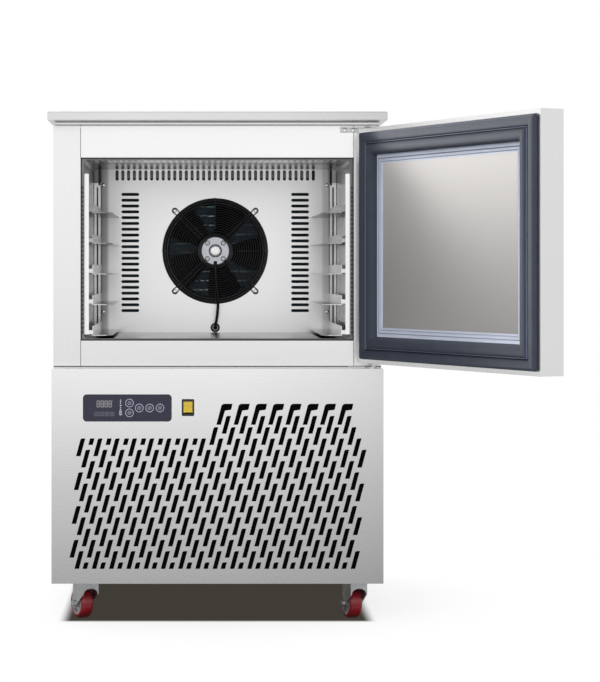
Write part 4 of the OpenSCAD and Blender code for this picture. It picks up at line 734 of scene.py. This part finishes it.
def door_frame(profile, inset, side=1.0, corner=0.0, steps=6):
    """Profile of (height above the inner face, distance inwards), carried round a rectangle whose
    edges lie inset (across, up) from the door's. Distances are side times as wide on the upright
    sides, and the corners are mitred, or turn on a radius that grows smaller inwards."""
    profile = np.asarray(profile, float)
    middle = (DOOR_Z0 + DOOR_Z1) / 2
    half_x, half_z = DOOR_HALF - inset[0], (DOOR_Z1 - DOOR_Z0) / 2 - inset[1]
    quarter = np.repeat(np.arange(4), steps + 1)
    angle = (np.pi / 2 * (quarter + np.tile(np.arange(steps + 1), 4) / steps))[:, None]
    sx = np.array([1, -1, -1, 1])[quarter][:, None]
    sz = np.array([1, 1, -1, -1])[quarter][:, None]
    away = profile[None, :, 1]
    radius = np.maximum(corner - away, 0.0)
    inward = np.maximum(away, corner)
    x = sx * (half_x - inward * side) + side * radius * np.cos(angle)
    z = sz * (half_z - inward) + radius * np.sin(angle) + middle
    y = np.broadcast_to(DOOR_BACK + profile[None, :, 0], x.shape)
    points = door_place(np.stack([x, y, z], -1))
    return points.reshape(-1, 3), grid_faces(len(quarter), len(profile), wrap_rows=True, wrap_columns=True)


def fine_profile(profile, rounds=2):
    """Cuts the corners of a closed outline again and again, so that it turns smoothly."""
    p = np.asarray(profile, float)
    for _ in range(rounds):
        after = np.roll(p, -1, 0)
        p = np.stack([0.75 * p + 0.25 * after, 0.25 * p + 0.75 * after], 1).reshape(-1, 2)
    return p


def door_line(inset, height, width):
    """Thin ridge round the door's inner side, with its outer edge inset (across, up) from the door's
    edges and its top at a height above the inner face."""
    return door_frame([(height - 3.0, 0), (height, width * 0.25), (height, width * 0.75),
                       (height - 3.0, width)], inset)


def make_door_rings():
    """Gasket with its two soft beads and a pale ridge in the groove between them, coloured as a painted
    highlight, and the pale frame inside it with its two moulded lines, coloured dark as painted shade."""
    beads = door_frame(fine_profile(GASKET), (DOOR_MARGIN, DOOR_MARGIN), GASKET_SIDE, GASKET_CORNER)
    make_piece("door_gasket_beads", [beads], gasket_rubber, "door", replaces=("door_gasket",))
    # The pale ridge in the gasket's groove is a painted highlight.
    highlight_inset = GASKET_W * 0.465
    make_piece("groove_highlight", [door_line((DOOR_MARGIN + highlight_inset * GASKET_SIDE, DOOR_MARGIN + highlight_inset), 8.4, 2.0)],
               groove_highlight, "door")
    inset = np.array([DOOR_MARGIN + GASKET_W * GASKET_SIDE, DOOR_MARGIN + GASKET_W])
    # Two dark lines along the frame's steps, coloured as painted shade.
    lines = [door_line(inset + along, height, 1.4) for along, height in ((8.8, -3.6), (16.8, -5.1))]
    make_piece("frame_groove_shade", lines, groove_shade, "door")
    make_piece("door_pale_frame", [door_frame(fine_profile(BEZEL, 1), inset)], pale_frame,
               "door", replaces=("door_bezel",))


make_door_rings()


# ---------------------------------------------------------------------------------------------
# Front of the cabinet and lines in the chamber
# ---------------------------------------------------------------------------------------------
RAIL_Y, RAIL_LOW, RAIL_TOP = -337.5, 616, 1205
SEAM_X, SEAM_W = 333.2, 1.4
BOARD_HALF, BOARD_Y = 395, -333.5
HEM_LOW, HEM_TOP = 1206.0, 1211.2
OPEN_X, OPEN_LOW, OPEN_HIGH = 333.5, 678.5, 1125.5
EDGE_W = 3.2
MARK_PITCH, MARK_H = 11.0, 5.5
ROOM_X, ROOM_HIGH = 325.0, 1120.5
REAR_POST_Y = 195.0


def make_seams():
    """Dark gaps between the stiles and the rails, between the rails and the lower panel, and above and
    below the light hem of the worktop's fold."""
    y = (RAIL_Y - 0.25, RAIL_Y + 0.4)
    rows = []
    for low, high in ((RAIL_LOW, OPEN_LOW), (OPEN_HIGH, RAIL_TOP)):
        rows += mirrored_row(SEAM_X - SEAM_W / 2, SEAM_X + SEAM_W / 2, *y, low, high)
    rows.append((-399, 399, *y, 614.4, 617.0))
    board = (-BOARD_HALF, BOARD_HALF, BOARD_Y - 0.9, BOARD_Y - 0.1)
    rows += [(*board, HEM_TOP, 1212.9), (*board, 1204.4, HEM_LOW)]
    plain_boxes("panel_seams", rows, seam_dark)
    hem = (-BOARD_HALF, BOARD_HALF, BOARD_Y - 0.7, BOARD_Y - 0.1, HEM_LOW, HEM_TOP)
    plain_boxes("worktop_hem", [hem], steel_rack)


def make_opening_edge():
    """Black edge round the opening, and the row of dark marks down each side of the trim."""
    y = (RAIL_Y - 0.3, RAIL_Y + 0.5)
    rows = [(-OPEN_X, OPEN_X, *y, OPEN_HIGH - EDGE_W, OPEN_HIGH),
            (-OPEN_X, OPEN_X, *y, OPEN_LOW, OPEN_LOW + EDGE_W)]
    rows += mirrored_row(OPEN_X, OPEN_X - EDGE_W, *y, OPEN_LOW, OPEN_HIGH)
    for z in np.arange(OPEN_LOW + 18, OPEN_HIGH - 66, MARK_PITCH):
        rows += mirrored_row(OPEN_X - EDGE_W - 0.3, OPEN_X - EDGE_W - 3.6, *y, z, z + MARK_H)
    plain_boxes("opening_edge", rows, trim_black)


def make_chamber_lines():
    """Lines inside the chamber: the dark slot and edges of each rear post, a strip of painted shade in the
    corner over it, and the ceiling's row of pale marks before its dark joint."""
    rows = []
    # The last row of this table is the strip of painted shade in the corner above each rear post.
    for centre, half, low, high in ((315, 1.4, 702, 1072), (324.3, 0.7, 700, 1115), (305.7, 0.7, 700, 1076),
                                    (309, 3.2, 1077, 1119)):
        rows += mirrored_row(centre - half, centre + half, REAR_POST_Y - 0.5, REAR_POST_Y + 0.5, low, high)
    rows.append((2 - ROOM_X, ROOM_X - 2, -119, -113, ROOM_HIGH - 0.5, ROOM_HIGH - 0.1))
    plain_boxes("chamber_joints", rows, seam_dark)
    marks = [(x, x + 8, -308, -190, ROOM_HIGH - 0.4, ROOM_HIGH - 0.1) for x in np.arange(-300, 300, 15.0)]
    plain_boxes("ceiling_marks", marks, steel_rack)


make_seams()
make_opening_edge()
make_chamber_lines()


# ---------------------------------------------------------------------------------------------
# Lower panel: the dark filter behind the slots
# ---------------------------------------------------------------------------------------------
FILTER_Y, FILTER_FRAME_Y, FILTER_FRAME_W = -399.5, (-402, -397), 4
PLEAT_DEPTH, PLEAT_PITCH = 1.6, 16


def make_filter():
    """Pleated mesh sheets close behind the slots, one behind the wide field and one behind the taller
    part at the right: their depth is a row of even waves across the width. Flat frames hold them."""
    parts = []
    w = FILTER_FRAME_W
    for x0, x1, z0, z1 in ((-352, 352, 104, 466), (-25, 352, 470, 556)):
        x = np.arange(x0, x1 + 1, 2.0)[None, :]
        z = np.linspace(z0, z1, 3)[:, None]
        y = FILTER_Y + PLEAT_DEPTH * np.sin(x * 2 * np.pi / PLEAT_PITCH) + 0 * z
        points = np.stack(np.broadcast_arrays(x, y, z), -1).reshape(-1, 3)
        parts.append((points, grid_faces(3, x.shape[1])))
        parts.append(blocks([(x0 - 2, x1 + 2, *FILTER_FRAME_Y, z0 - w, z0),
                             (x0 - 2, x1 + 2, *FILTER_FRAME_Y, z1, z1 + w),
                             (x0 - w, x0, *FILTER_FRAME_Y, z0 - w, z1 + w),
                             (x1, x1 + w, *FILTER_FRAME_Y, z0 - w, z1 + w)]))
    make_piece("dust_filter", parts, filter_mesh, smooth=False)


make_filter()


# ---------------------------------------------------------------------------------------------
# Controls, placed in X and Z about the middle of the control panel
# ---------------------------------------------------------------------------------------------
CONTROL = np.array([-217.3, 518.6])
FACE = -409.0
PRINT_Y = (FACE - 0.06, FACE + 0.05)
KEY_PLACES = [(5.3, 11.9), (5.3, -11.7), (28.9, 0), (53.9, 0), (78.8, 0)]
KEY_RING_R, KEY_SIGN_R = 10.2, 4.4
DISPLAY, DISPLAY_HALF = np.array([-55.4, 9.8]), np.array([18.9, 9.1])
DIGIT, DIGIT_PITCH, DIGIT_IN, DIGIT_LINE = np.array([6.2, 14.6]), 9.6, np.array([-17.6, -7.3]), 2.0
EIGHT = np.array([((0, 1), (1, 1)), ((1, 1), (1, 0.5)), ((1, 0.5), (1, 0)), ((0, 0), (1, 0)),
                  ((0, 0.5), (0, 0)), ((0, 1), (0, 0.5)), ((0, 0.5), (1, 0.5))])
SQUARE = np.array([(-1, -1), (1, -1), (1, 1), (-1, 1)])
SQUARES_Z, SQUARE_HALF = -14.4, 4.4
SQUARE_SIGNS = ((-74.4, (0,)), (-61.8, (90,)), (-49.2, (0, 90)), (-36.7, (45, 135)))
SIGN_REACH, SIGN_LINE = 2.4, 1.2
LIGHTS_X, LIGHTS_TOP, LIGHT_PITCH, LIGHT_H = -16.2, 19.2, 4.4, 1.9
LIGHT_WIDTHS = (3.0, 4.4, 3.0, 5.4, 3.0, 4.4, 6.4, 7.2, 7.2)


def prism(outline, y0, y1):
    """Flat outline from one depth to another, with both ends closed."""
    outline = np.asarray(outline, float) + CONTROL
    area = np.sum(outline[:, 0] * np.roll(outline[:, 1], -1) - np.roll(outline[:, 0], -1) * outline[:, 1])
    if area < 0:
        outline = outline[::-1]
    n = len(outline)
    front, back = (np.stack([outline[:, 0], np.full(n, y), outline[:, 1]], 1) for y in (y0, y1))
    k = np.arange(n)
    sides = np.stack([k, k + n, (k + 1) % n + n, (k + 1) % n], 1).tolist()
    return np.vstack([front, back]), sides + [k.tolist(), (k + n)[::-1].tolist()]


def bar(start, end, width, y0, y1):
    """Six-sided lozenge between two points on the panel's face, like one stroke of a digit."""
    start, end = np.asarray(start, float), np.asarray(end, float)
    along = (end - start) / np.linalg.norm(end - start)
    across = np.array([-along[1], along[0]]) * width / 2
    tip = along * width / 2
    return prism([start, start + tip + across, end - tip + across, end, end - tip - across,
                  start + tip - across], y0, y1)


def flat_ring(centre, radius, width, y, lift, steps=48):
    """Printed ring: a low rounded band round a point of the panel's face."""
    profile = [(y + lift, radius - width), (y, radius - width), (y - lift, radius - width / 2), (y, radius),
               (y + lift, radius), (y + lift, radius - width)]
    return lathe(profile, (CONTROL[0] + centre[0], 0, CONTROL[1] + centre[1]), steps)


def make_controls():
    """Display window with its digits, four small squares with signs, the column of lights, and a ring
    with its sign round each key."""
    rings = [flat_ring(place, KEY_RING_R, 1.9, FACE - 0.02, 0.06) for place in KEY_PLACES]
    for x, z in KEY_PLACES:
        rings += [flat_ring((x, z), KEY_SIGN_R, 0.9, PRINT_Y[0] - 0.3, 0.05, 24),
                  bar((x - 2.6, z), (x + 2.6, z), SIGN_LINE, PRINT_Y[0] - 0.4, PRINT_Y[1])]
    digits = [bar(*(DISPLAY + DIGIT_IN + (DIGIT_PITCH * column, 0) + DIGIT * stroke), DIGIT_LINE, FACE - 0.4,
                  FACE - 0.2) for column in range(4) for stroke in EIGHT]
    signs = [flat_ring((-36.0, 17.5), 1.7, 0.7, FACE - 0.02, 0.05, 20)]
    for x, turns in SQUARE_SIGNS:
        centre = np.array([x, SQUARES_Z])
        corners = centre + SQUARE_HALF * SQUARE
        signs += [bar(a, b, 1.0, *PRINT_Y) for a, b in zip(corners, np.roll(corners, -1, 0))]
        for turn in np.radians(turns):
            reach = SIGN_REACH * np.array([math.cos(turn), math.sin(turn)])
            signs.append(bar(centre - reach, centre + reach, SIGN_LINE, *PRINT_Y))
    lights = []
    for row, wide in enumerate(LIGHT_WIDTHS):
        z = LIGHTS_TOP - LIGHT_PITCH * row
        lights.append(bar((LIGHTS_X - wide / 2, z), (LIGHTS_X + wide / 2, z), LIGHT_H, *PRINT_Y))
    window = prism(DISPLAY + DISPLAY_HALF * SQUARE, FACE - 0.25, FACE + 0.05)
    for name, parts, finish in (("display_window", [window], display_glass),
                                ("display_digits", digits, digit_grey), ("key_rings", rings, ring_print),
                                ("panel_print", signs, print_grey), ("level_lights", lights, light_print)):
        make_piece(name, parts, finish, smooth=False)


make_controls()
